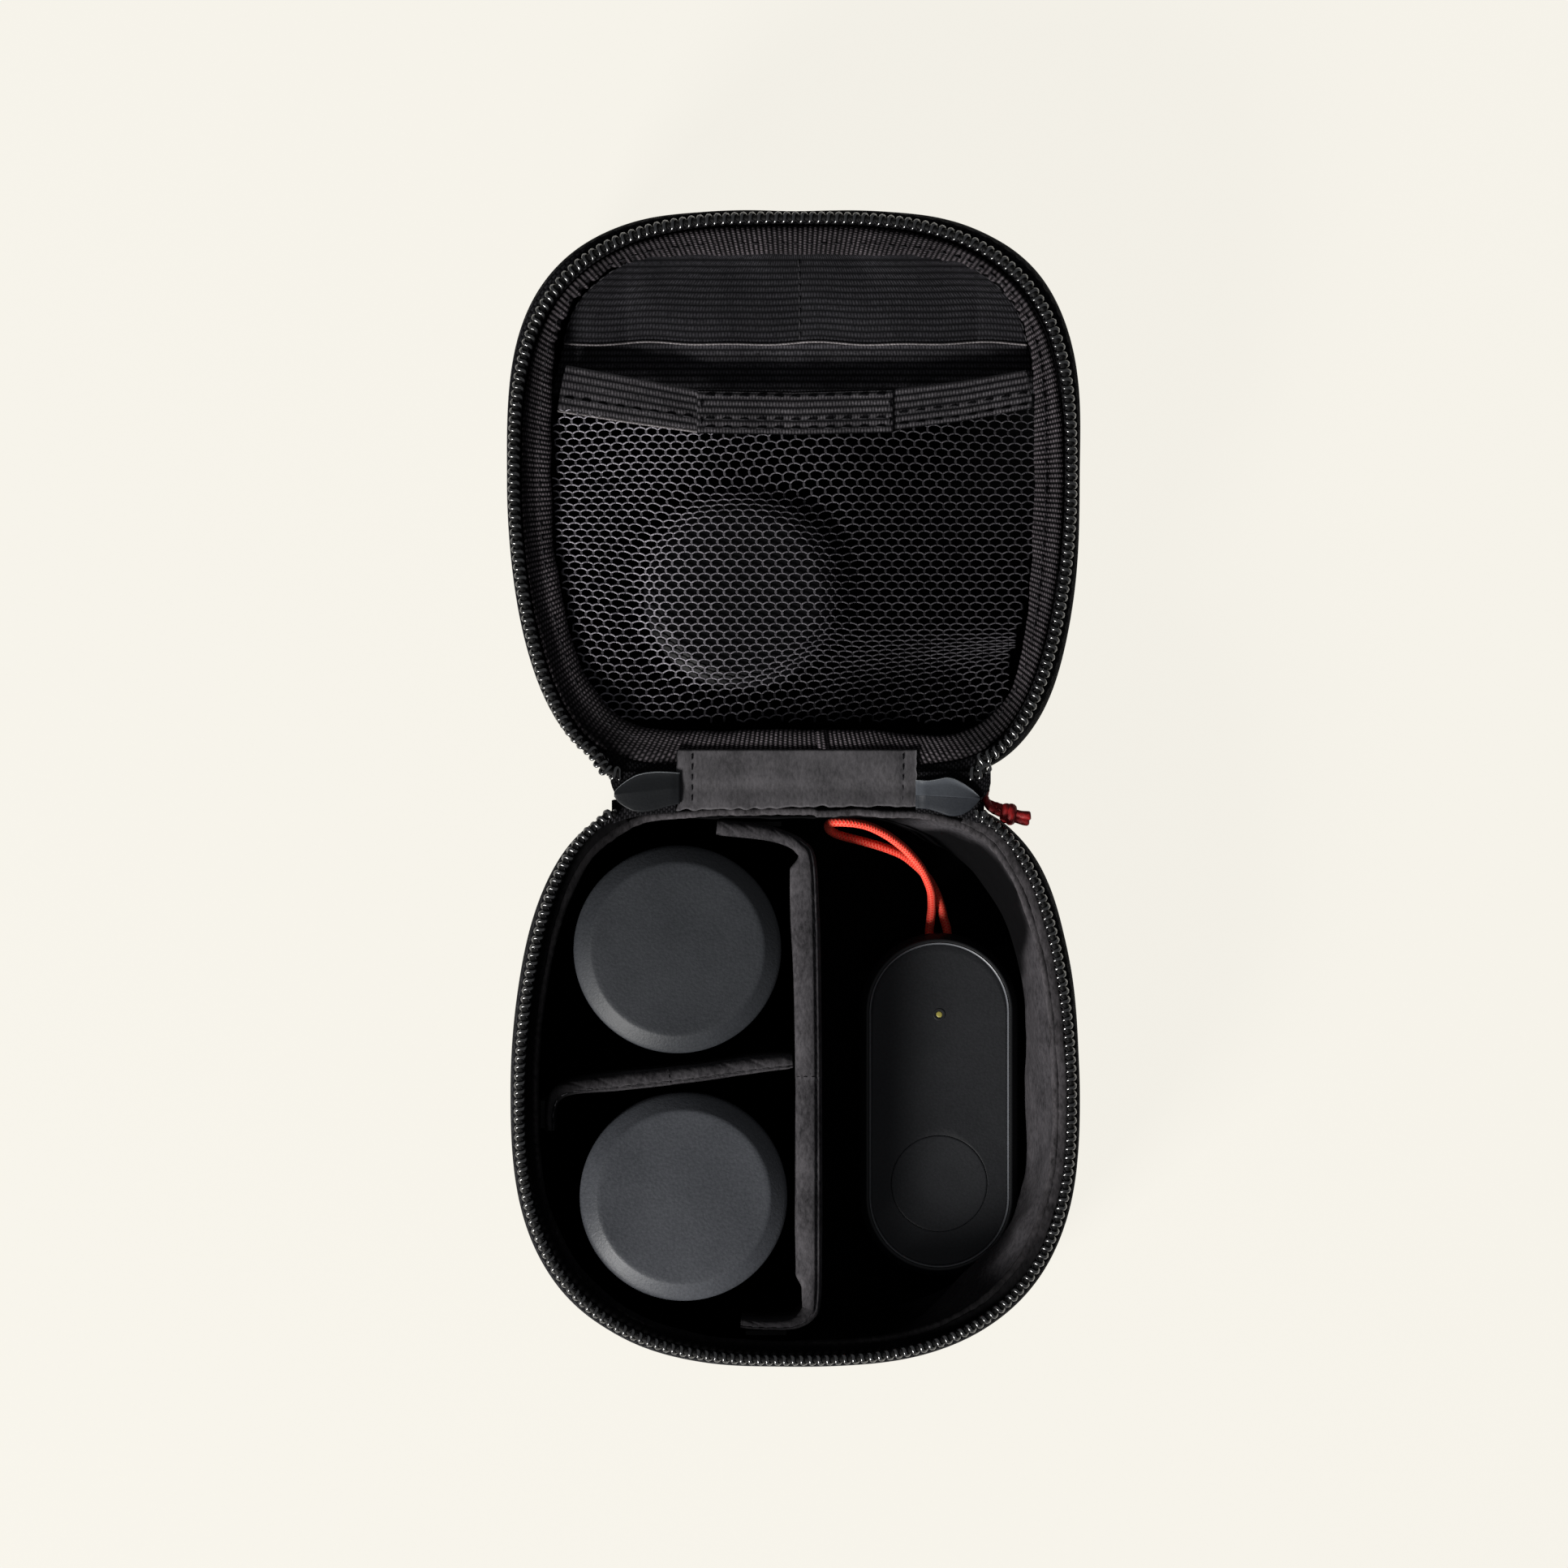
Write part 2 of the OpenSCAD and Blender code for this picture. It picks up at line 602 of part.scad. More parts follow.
module divider_cross() color([0.26, 0.25, 0.25])
    padded_panel([
        [cross_flap_x - 0.1, -cross_y - cross_flap_l, flap_t / 2, flap_low],
        [cross_flap_x, -cross_y - cross_flap_l + 4, flap_t / 2, flap_low],
        [cross_flap_x + 1.2, -cross_y - cross_flap_l + 7, divider_t * 0.3, flap_low],
        [cross_flap_x + 4.6, -cross_y - 2.4, divider_t * 0.34, panel_low + 1],
        [cross_flap_x * 0.72, -cross_y - 1.4, divider_t * 0.4, panel_low],
        [cross_flap_x * 0.42, -cross_y + 0.2, divider_t * 0.4, panel_low],
        [cross_flap_x * 0.18, -cross_y + 1.9, divider_t * 0.4, panel_low],
        [cross_x1, -cross_y + 2.8, divider_t * 0.36, panel_low]],
        divider_top - 0.6);

module divider_cross_hooks() color([0.08, 0.08, 0.08])
    translate([cross_flap_x - flap_t / 2 - hook_t - 0.1,
               -cross_y - cross_flap_l + 0.4, hook_low])
        cube([hook_t, cross_hook_l, divider_top - hook_drop + 1 - hook_low]);

// Lenses, each as [x, y, cap radius, height, lowest point]

lens_a = [divider_x - divider_t / 2 - lens_divider_gap - cap_r,
    -(inner_wall_y + 5.4 + cap_r), cap_r, lens_h, stand_z];
lens_b = [divider_x - divider_t / 2 - lens_divider_gap + 1.2 - cap_r,
    -(cross_y + divider_t / 2 + 1.4 + cap_r), cap_r, lens_h, stand_z];
pocket_lens = [-10.9, 38.7, pocket_cap_r, pocket_lens_h, stand_z];

rear_cap_h = 9;
rear_cap_r = mount_r + cap_fit + cap_wall;
mount_low = 2;
mount_h = 3;
front_cap_h = 11.3;
cap_face_t = 1.6;
cap_bevel_drop = 2;
flange_h = 6.4;
sleeve_h = 7.6;
glass_t = 4;
rear_glass_r = 9;
rear_glass_t = 2.6;
glass_fit = 0.05;

// Radius of the sleeve inside a front cap, and of the bore that holds the glass
function sleeve_r(lens) = lens[2] - cap_wall - cap_fit;
function bore_r(lens) = sleeve_r(lens) - 3;
function flange_top(lens) = lens[3] - front_cap_h - 0.2;

module at_lens(lens) translate([lens[0], lens[1], lens[4]]) children();

module front_cap(lens) color([0.24, 0.25, 0.26]) at_lens(lens) {
    r = lens[2];
    top = lens[3];
    low = top - front_cap_h;
    inner = r - cap_wall;
    rotate_extrude() polygon([[0, top], [r - cap_bevel, top], [r - 0.5, top - cap_bevel_drop],
        [r, top - cap_bevel_drop - 0.5], [r, low], [inner, low],
        [inner, top - cap_bevel_drop - cap_face_t],
        [inner - cap_bevel, top - cap_face_t], [0, top - cap_face_t]]);
}

// Barrel: a neck over the mount, a waist, a flange and a sleeve, bored right through
module barrel(lens) color([0.13, 0.13, 0.14]) at_lens(lens) {
    neck_z = mount_low + mount_h;
    flange_z = flange_top(lens) - flange_h;
    waist_r = mount_r + 2.2;
    sleeve_top = flange_top(lens) + sleeve_h;
    front = bore_r(lens);
    rotate_extrude() polygon([[rear_glass_r + glass_fit, neck_z], [mount_r - 0.2, neck_z],
        [mount_r - 0.2, rear_cap_h + 0.2], [waist_r, rear_cap_h + 0.2],
        [waist_r, flange_z], [lens[2] - 0.6, flange_z + 1],
        [lens[2] - 0.6, flange_top(lens)], [sleeve_r(lens), flange_top(lens)],
        [sleeve_r(lens), sleeve_top], [front + glass_fit, sleeve_top],
        [front + glass_fit, sleeve_top - glass_t], [front - 1.5, sleeve_top - glass_t],
        [rear_glass_r - 0.8, neck_z + rear_glass_t + 0.4],
        [rear_glass_r - 0.8, neck_z + rear_glass_t],
        [rear_glass_r + glass_fit, neck_z + rear_glass_t]]);
}

// Front element: flat below and domed above, cut from a ball
module front_glass(lens) color([0.3, 0.35, 0.5]) at_lens(lens) {
    r = bore_r(lens);
    z = flange_top(lens) + sleeve_h - glass_t;
    rotate_extrude() polygon([[0, z + 0.02], [r, z + 0.02], [r, z + glass_t - 1.6],
        [r * 0.8, z + glass_t - 0.9], [r * 0.5, z + glass_t - 0.35], [0, z + glass_t]]);
}

module rear_glass(lens) color([0.3, 0.35, 0.5]) at_lens(lens)
    translate([0, 0, mount_low + mount_h]) cylinder(h = rear_glass_t - 0.05, r = rear_glass_r);

// Mount ring below the neck, with three bayonet lugs
lug_r = 1.2;
module mount_ring(lens) color([0.6, 0.6, 0.62]) at_lens(lens)
    translate([0, 0, mount_low]) difference() {
        cylinder(h = mount_h, r = mount_r);
        translate([0, 0, -1]) cylinder(h = mount_h + 2, r = rear_glass_r - 0.8);
        for (i = [0 : 2]) rotate(i * 120) translate([mount_r - 1.8, 0, -1])
            cylinder(h = 2, r = lug_r);
    }

module rear_cap(lens) color([0.2, 0.2, 0.21]) at_lens(lens) difference() {
    cylinder(h = rear_cap_h, r = rear_cap_r);
    translate([0, 0, cap_wall]) cylinder(h = rear_cap_h, r = mount_r + cap_fit);
}

module lens_a_front_cap() front_cap(lens_a);
module lens_a_barrel() barrel(lens_a);
module lens_a_front_glass() front_glass(lens_a);
module lens_a_rear_glass() rear_glass(lens_a);
module lens_a_mount_ring() mount_ring(lens_a);
module lens_a_rear_cap() rear_cap(lens_a);

module lens_b_front_cap() front_cap(lens_b);
module lens_b_barrel() barrel(lens_b);
module lens_b_front_glass() front_glass(lens_b);
module lens_b_rear_glass() rear_glass(lens_b);
module lens_b_mount_ring() mount_ring(lens_b);
module lens_b_rear_cap() rear_cap(lens_b);

module pocket_lens_front_cap() front_cap(pocket_lens);
module pocket_lens_barrel() barrel(pocket_lens);
module pocket_lens_front_glass() front_glass(pocket_lens);
module pocket_lens_rear_glass() rear_glass(pocket_lens);
module pocket_lens_mount_ring() mount_ring(pocket_lens);
module pocket_lens_rear_cap() rear_cap(pocket_lens);

// Remote shutter

remote_x = divider_x + divider_t / 2 + remote_divider_gap + remote_w / 2;
remote_top = stand_z + remote_h;
split_z = stand_z + remote_h * 0.5;
plate_t = 1;
plate_gap = 0.15;
plate_z = remote_top - plate_t - 0.3;
button_y = 18.6 - remote_l / 2;
cell_r = 8;
cell_h = 3.2;
cell_y = 6;
button_t = 1.2;
button_travel = 0.5;
window_y = remote_l / 2 - 16.2;
window_r = 0.9;
board_t = 1;
board_z = stand_z + 5.2;
slot_w = 7.4;
slot_h = 3.2;
slot_depth = 2.6;
slot_z = split_z - slot_h / 2;
post_r = 0.9;

// Pill-shaped outline of the remote, an inset inside its edge
module pill(inset) {
    r = remote_w / 2 - inset;
    half = (remote_l - remote_w) / 2;
    square([2 * r, 2 * half], center = true);
    for (side = [-1, 1]) translate([0, side * half]) circle(r = r);
}

// Slab of the pill from one height to another
module pill_slab(inset, z0, z1) translate([remote_x, -remote_y, z0])
    linear_extrude(z1 - z0) pill(inset);

// Slot in the end beside the hinge, for the strap
module strap_slot()
    translate([remote_x - slot_w / 2, -remote_y + remote_l / 2 - slot_depth, slot_z])
        cube([slot_w, slot_depth + 2, slot_h]);

module remote_back_case() color([0.1, 0.1, 0.1]) difference() {
    union() {
        pill_slab(3, stand_z, stand_z + 1.1);
        pill_slab(1.4, stand_z + 1.1, stand_z + 2.6);
        pill_slab(0.4, stand_z + 2.6, stand_z + 4);
        pill_slab(0, stand_z + 4, split_z);
    }
    pill_slab(remote_wall + 3.2, stand_z + remote_wall, split_z + 1);
    strap_slot();
}

module remote_front_case() color([0.1, 0.1, 0.1]) difference() {
    union() {
        pill_slab(0, split_z, remote_top - 1.4);
        pill_slab(0.7, remote_top - 1.4, remote_top);
    }
    pill_slab(remote_wall + 3.2, split_z - 1, plate_z + 0.2);
    pill_slab(face_margin, plate_z, remote_top + 1);
    strap_slot();
}

module remote_face_plate() color([0.07, 0.07, 0.07]) difference() {
    pill_slab(face_margin + plate_gap, plate_z, plate_z + plate_t);
    translate([remote_x, -remote_y + button_y, plate_z - 1])
        cylinder(h = plate_t + 2, r = button_r + plate_gap);
    translate([remote_x, -remote_y + window_y, plate_z - 1])
        cylinder(h = plate_t + 2, r = window_r + 0.05);
}

module remote_button() color([0.09, 0.09, 0.09])
    translate([remote_x, -remote_y + button_y, plate_z]) {
        cylinder(h = button_t, r = button_r);
        translate([0, 0, -0.6]) cylinder(h = 0.7, r = 3);
    }

module remote_light_window() color([0.7, 0.7, 0.3])
    translate([remote_x, -remote_y + window_y, plate_z - 1.5])
        cylinder(h = plate_t + 1.5, r = window_r);

module remote_circuit_board() color([0.1, 0.35, 0.2])
    pill_slab(remote_wall + 3.6, board_z, board_z + board_t);

module remote_dome_switch() color([0.7, 0.7, 0.7])
    translate([remote_x, -remote_y + button_y, board_z + board_t])
        cylinder(h = plate_z - 0.6 - button_travel - 0.1 - board_z - board_t, r = 3.2);

module remote_coin_cell() color([0.75, 0.75, 0.77])
    translate([remote_x, -remote_y + cell_y, board_z - cell_h - 0.1])
        cylinder(h = cell_h, r = cell_r);

module remote_strap_post() color([0.1, 0.1, 0.1])
    translate([remote_x, -remote_y + remote_l / 2 - 1.5, slot_z]) cylinder(h = slot_h, r = post_r);

// Wrist loop: out of the strap slot, up against the wall beside the hinge, and back.
// Points are taken from the middle of the remote's strap end
loop_route = [[-1.9, -2.5, 0], [-1.9, 0.4, 0.3], [-1.7, 2.4, 1.2], [-1.5, 4.4, 2.4],
    [-1.5, 6.4, 3.9], [-1.8, 8.4, 5.5], [-2.8, 10.6, 7.2], [-4.4, 12.9, 8.9],
    [-7, 15.4, 10.8], [-9.4, 17.1, 12.2], [-12, 18.7, 13.6], [-15, 20.2, 15],
    [-17.4, 21, 15.9], [-19.2, 21.4, 16.2], [-20.8, 21.6, 15.7], [-21.9, 21.6, 14.6],
    [-22.3, 21.5, 13.2], [-21.9, 21.1, 11.9], [-20.8, 20.6, 10.9], [-19, 19.8, 10.3],
    [-16.3, 18.6, 9.9], [-12.1, 17, 8.9], [-8.1, 14.5, 7], [-5, 12.1, 5.1],
    [-2.8, 10.1, 3.6], [-1.3, 8.3, 2.5], [-0.3, 6.7, 1.7], [0.5, 4.8, 1],
    [1, 2.8, 0.5], [1.6, 0.9, 0.15], [2, -2.5, 0]];

// Tube of eight sides along a route
module route_tube(route, r) {
    n = len(route);
    skin([for (i = [0 : n - 1])
        let (t = route[min(n - 1, i + 1)] - route[max(0, i - 1)],
             along = t / norm(t), c = cross(along, [0, 0, 1]), across = c / norm(c),
             up = cross(along, across))
        [for (a = [0 : 45 : 315]) route[i] + r * (cos(a) * across + sin(a) * up)]]);
}

module remote_wrist_loop() color([0.92, 0.24, 0.18])
    translate([remote_x, -remote_y + remote_l / 2, split_z])
        route_tube(loop_route, cord_d / 2);

base_shell();
base_lining();
base_zip_tape();
base_zip_teeth();
base_hem();
lid_shell();
lid_lining();
lid_zip_tape();
lid_zip_teeth();
lid_binding();
card_back_panel();
card_band();
pocket_net();
pocket_hem();
pocket_hem_patch();
hinge_gusset();
hinge_outer_panel();
hinge_tab_left();
hinge_tab_right();
zip_slider_body();
zip_slider_bridge();
zip_pull();
divider_long();
divider_long_hooks();
divider_cross();
divider_cross_hooks();
lens_a_front_cap();
lens_a_barrel();
lens_a_front_glass();
lens_a_rear_glass();
lens_a_mount_ring();
lens_a_rear_cap();
lens_b_front_cap();
lens_b_barrel();
lens_b_front_glass();
lens_b_rear_glass();
lens_b_mount_ring();
lens_b_rear_cap();
pocket_lens_front_cap();
pocket_lens_barrel();
pocket_lens_front_glass();
pocket_lens_rear_glass();
pocket_lens_mount_ring();
pocket_lens_rear_cap();
remote_back_case();
remote_front_case();
remote_face_plate();
remote_button();
remote_light_window();
remote_circuit_board();
remote_dome_switch();
remote_coin_cell();
remote_strap_post();
remote_wrist_loop();
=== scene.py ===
import math
import bpy
import numpy as np
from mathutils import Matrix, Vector


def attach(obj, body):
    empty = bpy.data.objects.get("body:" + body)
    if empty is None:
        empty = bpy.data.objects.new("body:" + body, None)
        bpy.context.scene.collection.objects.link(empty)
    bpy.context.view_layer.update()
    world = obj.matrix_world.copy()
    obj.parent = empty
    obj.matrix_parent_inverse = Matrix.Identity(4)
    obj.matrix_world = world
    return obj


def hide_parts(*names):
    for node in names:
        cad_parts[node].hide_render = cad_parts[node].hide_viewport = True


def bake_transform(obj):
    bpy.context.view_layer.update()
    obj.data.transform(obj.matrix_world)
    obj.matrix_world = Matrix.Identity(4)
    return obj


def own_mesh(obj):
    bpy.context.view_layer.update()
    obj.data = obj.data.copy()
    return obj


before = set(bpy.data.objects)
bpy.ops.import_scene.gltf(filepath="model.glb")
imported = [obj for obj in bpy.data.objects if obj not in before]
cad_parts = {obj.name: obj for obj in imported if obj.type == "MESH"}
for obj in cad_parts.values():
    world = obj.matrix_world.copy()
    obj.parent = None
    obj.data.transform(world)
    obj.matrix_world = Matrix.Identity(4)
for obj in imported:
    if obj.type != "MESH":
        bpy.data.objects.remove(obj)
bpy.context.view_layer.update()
mm = 0.001  # every length below is in millimetres
print("frame loaded")

# The photograph looks straight down on the open case
shot = {"width": 309.1, "distance": 1500, "plane": 36, "x": -2.24, "y": 0.96}
lensData = bpy.data.cameras.new("photoCamera")
lensData.sensor_width = 36
lensData.lens = lensData.sensor_width * shot["distance"] / shot["width"]
lensData.clip_start, lensData.clip_end = 0.05, 20
photoCamera = bpy.data.objects.new("photoCamera", lensData)
photoCamera.location = (shot["x"] * mm, shot["y"] * mm, (shot["plane"] + shot["distance"]) * mm)
bpy.context.scene.collection.objects.link(photoCamera)
bpy.context.scene.camera = photoCamera


# Mesh helpers. A shape is its points in millimetres, its faces in arrays of equal corner
# count, and the cloth coordinates of their corners

# Makes a piece of a shape, puts it on its body where that is named, and hides the nodes that it
# stands for
def addPiece(name, shape, material, body, slot, *nodes, shade=None):
    points, groups, uv = shape
    if sizeInside(points, groups) < 0:
        groups, uv = ([g[:, ::-1] for g in x] for x in (groups, uv))
    mesh = bpy.data.meshes.new(name)
    mesh.vertices.add(len(points))
    mesh.vertices.foreach_set("co", (points * mm).astype(np.float32).ravel())
    corners = np.concatenate([g.ravel() for g in groups])
    counts = np.concatenate([np.full(len(g), g.shape[1]) for g in groups])
    mesh.loops.add(len(corners))
    mesh.loops.foreach_set("vertex_index", corners.astype(np.int32))
    mesh.polygons.add(len(counts))
    mesh.polygons.foreach_set("loop_start", (np.cumsum(counts) - counts).astype(np.int32))
    mesh.update(calc_edges=True)
    mesh.polygons.foreach_set("use_smooth", np.full(len(counts), True))
    flatUv = np.concatenate([g.reshape(-1, 2) for g in uv])
    mesh.uv_layers.new(name="cloth").data.foreach_set("uv", flatUv.astype(np.float32).ravel())
    if shade is not None:
        layer = mesh.attributes.new("shade", "FLOAT", "POINT")
        values = np.ravel(shade) + np.zeros(len(points))
        layer.data.foreach_set("value", values.astype(np.float32))
    mesh.validate()
    for m in material if isinstance(material, list) else [material]:
        mesh.materials.append(m)
    piece = bpy.data.objects.new(name, mesh)
    bpy.context.scene.collection.objects.link(piece)
    if isinstance(body, str):
        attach(piece, body)
    else:
        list(body)
        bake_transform(piece)
    if nodes:
        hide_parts(*nodes)
    return piece


# Six times the volume inside the faces, below zero where they face inwards
def sizeInside(points, groups):
    total = 0.0
    for g in groups:
        a = points[g[:, 0]]
        for k in range(1, g.shape[1] - 1):
            total += float((a * np.cross(points[g[:, k]], points[g[:, k + 1]])).sum())
    return total


# Quads between closed rows of points. ring joins the last row to the first
def loft(rows, ring=False, caps=False, u=None, v=None):
    rows = np.asarray(rows, float)
    n, m = rows.shape[:2]
    rr, cc = np.meshgrid(np.arange(n if ring else n - 1), np.arange(m), indexing="ij")
    r2, c2 = (rr + 1) % n, (cc + 1) % m
    quads = stack(rr * m + cc, rr * m + c2, r2 * m + c2, r2 * m + cc).reshape(-1, 4)
    u = spread(rows[n // 2], True) if u is None else np.asarray(u, float)
    v = spread(rows[:, 0], ring) if v is None else np.asarray(v, float)
    corners = np.stack([stack(u[cc + i], v[rr + j])
                        for i, j in ((0, 0), (1, 0), (1, 1), (0, 1))], 2)
    faces, uvs = [quads], [corners.reshape(-1, 4, 2)]
    if caps:
        for k, order in ((0, -1), (n - 1, 1)):
            faces.append((k * m + np.arange(m))[::order][None])
            uvs.append(stack(u[:m], np.full(m, v[k]))[::order][None])
    return rows.reshape(-1, 3), faces, uvs


# Points from their coordinates, which are numbers or arrays
def stack(*parts):
    return np.stack(np.broadcast_arrays(*parts), -1)


# Distances along a line of points, one more than the points where it closes on itself
def spread(line, closed=False):
    line = np.vstack([line, line[:1]]) if closed else line
    return np.concatenate([[0], np.cumsum(np.linalg.norm(np.diff(line, axis=0), axis=1))])


# One shape of several
def joinParts(parts):
    points, quads, uvs, start = [], {}, {}, 0
    for p, f, t in parts:
        points.append(p)
        for g, x in zip(f, t):
            quads.setdefault(g.shape[1], []).append(g + start)
            uvs.setdefault(g.shape[1], []).append(x)
        start += len(p)
    return (np.vstack(points), [np.vstack(quads[k]) for k in quads],
            [np.vstack(uvs[k]) for k in quads])


# Smooth curve through points, in even steps
def smoothLine(points, step):
    p = np.asarray(points, float)
    p = np.vstack([2 * p[0] - p[1], p, 2 * p[-1] - p[-2]])
    out = []
    for i in range(1, len(p) - 2):
        t = np.linspace(0, 1, 24, endpoint=False)[:, None]
        a, b, c, d = p[i - 1:i + 3]
        out.append(0.5 * (2 * b + (c - a) * t + (2 * a - 5 * b + 4 * c - d) * t ** 2
                          + (3 * b - a - 3 * c + d) * t ** 3))
    line = np.vstack(out + [p[-2:-1]])
    return resample(line, step)


def resample(line, step):
    s = spread(line)
    count = max(2, int(round(s[-1] / step)) + 1)
    at = np.linspace(0, s[-1], count)
    return np.stack([np.interp(at, s, line[:, k]) for k in range(3)], 1)


# Unit directions along a line of points
def directions(line):
    t = np.gradient(line, axis=0)
    return t / np.linalg.norm(t, axis=1)[:, None]


# Tube along a line. radius is a number, or a function of distance and angle
def tube(line, radius, sides):
    t = directions(line)
    up, ups = np.array([0, 0, 1.0]), []
    for d in t:
        # carried along the line without twist
        up = up - d * (up @ d)
        up = up / np.linalg.norm(up)
        ups.append(up)
    ups = np.array(ups)
    across = np.cross(t, ups)
    angle = np.arange(sides) * 2 * math.pi / sides
    s = spread(line)
    r = radius(s[:, None], angle[None]) if callable(radius) else np.full((len(line), sides), radius)
    rings = (line[:, None] + (r * np.cos(angle))[..., None] * across[:, None]
             + (r * np.sin(angle))[..., None] * ups[:, None])
    turn = float(np.mean(r)) * 2 * math.pi
    return loft(rings, caps=True, u=np.linspace(0, turn, sides + 1), v=s)


# Many tubes with closed ends at once, from their rings of points
def manyTubes(rings):
    n, k, sides = rings.shape[:3]
    rr, cc = np.meshgrid(np.arange(k - 1), np.arange(sides), indexing="ij")
    c2 = (cc + 1) % sides
    quads = stack(rr * sides + cc, rr * sides + c2, (rr + 1) * sides + c2,
                      (rr + 1) * sides + cc).reshape(-1, 4)
    ends = np.stack([np.arange(sides)[::-1], (k - 1) * sides + np.arange(sides)])
    shift = (np.arange(n) * k * sides)[:, None, None]
    faces = [(quads[None] + shift).reshape(-1, 4), (ends[None] + shift).reshape(-1, sides)]
    return rings.reshape(-1, 3), faces, [np.zeros((*f.shape, 2)) for f in faces]


# Many short round stitches: from a to b, bent up in the middle by lift along up
def stitches(starts, ends, ups, r, lift):
    t = ends - starts
    t = t / np.linalg.norm(t, axis=1)[:, None]
    ups = ups - t * (ups * t).sum(1)[:, None]
    ups = ups / np.linalg.norm(ups, axis=1)[:, None]
    side = np.cross(t, ups)
    share = np.array([0, 0.06, 0.25, 0.5, 0.75, 0.94, 1])
    grow = r * np.array([0.105, 0.75, 1, 1, 1, 0.75, 0.105])[:, None]
    angle = np.arange(6) * 2 * math.pi / 6
    centre = (starts[:, None] + (ends - starts)[:, None] * share[None, :, None]
              + ups[:, None] * (lift * np.sin(share * math.pi))[None, :, None])
    return manyTubes(centre[:, :, None]
                     + side[:, None, None] * (grow * np.cos(angle))[None, ..., None]
                     + ups[:, None, None] * (grow * np.sin(angle))[None, ..., None])


# A row of stitches along a line on a surface that faces up, or as ups says. sewing is their
# length, the gap between them, the thread's radius and the lift in their middle
def stitchRow(line, sewing, ups=(0, 0, 1.0)):
    length, gap, r, lift = sewing
    s = spread(line)
    ups = np.broadcast_to(ups, line.shape)
    count = int(s[-1] / (length + gap))
    at = (np.arange(count) + 0.5) * s[-1] / count
    return stitches(pick(at - length / 2, s, line), pick(at + length / 2, s, line),
                    pick(at, s, ups), r, lift)


# Values of the columns of a table at distances x, where its rows lie at distances s
def pick(x, s, table):
    return np.stack([np.interp(x, s, column) for column in table.T], -1)


# Smooth pseudo noise from a few sine waves, the same each run
def noiseField(x, y, size, seed):
    g = np.random.default_rng(seed)
    total = np.zeros(np.broadcast(x, y).shape)
    for _ in range(7):
        a, ph, f = g.uniform(0, 2 * math.pi), g.uniform(0, 6.28), g.uniform(0.6, 1.7) / size
        total += np.sin(2 * math.pi * f * (x * math.cos(a) + y * math.sin(a)) + ph)
    return total / 3.2


# From 0 at low to 1 at high, easing in and out
def smoothStep(x, low, high):
    t = np.clip((x - low) / (high - low), 0, 1)
    return t * t * (3 - 2 * t)


# Shader helpers

class NodeDesk:
    def __init__(self, tree):
        self.tree = tree

    def add(self, kind, **values):
        node = self.tree.nodes.new(kind)
        for key, value in values.items():
            setattr(node, key, value)
        return node

    def put(self, node, **sockets):
        for key, value in sockets.items():
            socket = node.inputs[int(key[1:])] if key[0] == "i" and key[1:].isdigit() else \
                node.inputs[key.replace("_", " ")]
            if isinstance(value, bpy.types.NodeSocket):
                self.tree.links.new(value, socket)
            else:
                socket.default_value = value
        return node

    def math(self, kind, a, b=0.0, c=0.0):
        node = self.add("ShaderNodeMath", operation=kind)
        self.put(node, i0=a, i1=b, i2=c)
        return node.outputs[0]

    def noise(self, vector, scale, detail=2.0, rough=0.5):
        node = self.add("ShaderNodeTexNoise")
        self.put(node, Vector=vector, Scale=scale, Detail=detail, Roughness=rough)
        return node.outputs["Fac"]

    def ramp(self, value, low, high, fromLow=0.0, fromHigh=1.0):
        node = self.add("ShaderNodeMapRange")
        self.put(node, Value=value, From_Min=fromLow, From_Max=fromHigh, To_Min=low, To_Max=high)
        return node.outputs["Result"]

    def tint(self, dark, light, mask):
        node = self.add("ShaderNodeMix", data_type="RGBA")
        self.put(node, i0=mask, i6=dark, i7=light)
        return node.outputs[2]

    def times(self, a, b):
        return self.math("MULTIPLY", a, b)

    def parts(self, vector):
        return self.put(self.add("ShaderNodeSeparateXYZ"), Vector=vector).outputs

    # rounded ridges, one for each whole number
    def ridges(self, value, power):
        wave = self.math("SINE", self.times(value, math.pi))
        return self.math("POWER", self.math("ABSOLUTE", wave), power)

    def use(self, group, **inputs):
        node = self.add("ShaderNodeGroup")
        node.node_tree = group
        return self.put(node, **inputs).outputs


# Node group with a vector and some numbers as inputs, and numbers as results
def makeGroup(name, numbers, results, build):
    tree = bpy.data.node_groups.new(name, "ShaderNodeTree")
    tree.interface.new_socket("Vector", in_out="INPUT", socket_type="NodeSocketVector")
    for label, value in numbers.items():
        socket = tree.interface.new_socket(label, in_out="INPUT", socket_type="NodeSocketFloat")
        socket.default_value = value
    for label in results:
        tree.interface.new_socket(label, in_out="OUTPUT", socket_type="NodeSocketFloat")
    desk = NodeDesk(tree)
    made = build(desk, desk.add("NodeGroupInput").outputs)
    desk.put(desk.add("NodeGroupOutput"), **{f"i{k}": x for k, x in enumerate(made)})
    return tree


# Plain weave: warp and weft threads that pass over each other
def buildWeave(desk, given):
    part = desk.parts(given["Vector"])
    u = desk.math("DIVIDE", part[0], given["Warp"])
    v = desk.math("DIVIDE", part[1], given["Weft"])

    def thread(a, b, turn):
        along = desk.math("ADD", desk.times(b, math.pi), desk.times(desk.math("FLOOR", a), math.pi))
        wave = desk.math("SINE", desk.math("ADD", along, turn))
        return desk.times(desk.ridges(a, 0.7), desk.math("MULTIPLY_ADD", wave, 0.5, 0.5))

    return [desk.math("MAXIMUM", thread(u, v, 0.0), thread(v, u, math.pi / 2))]


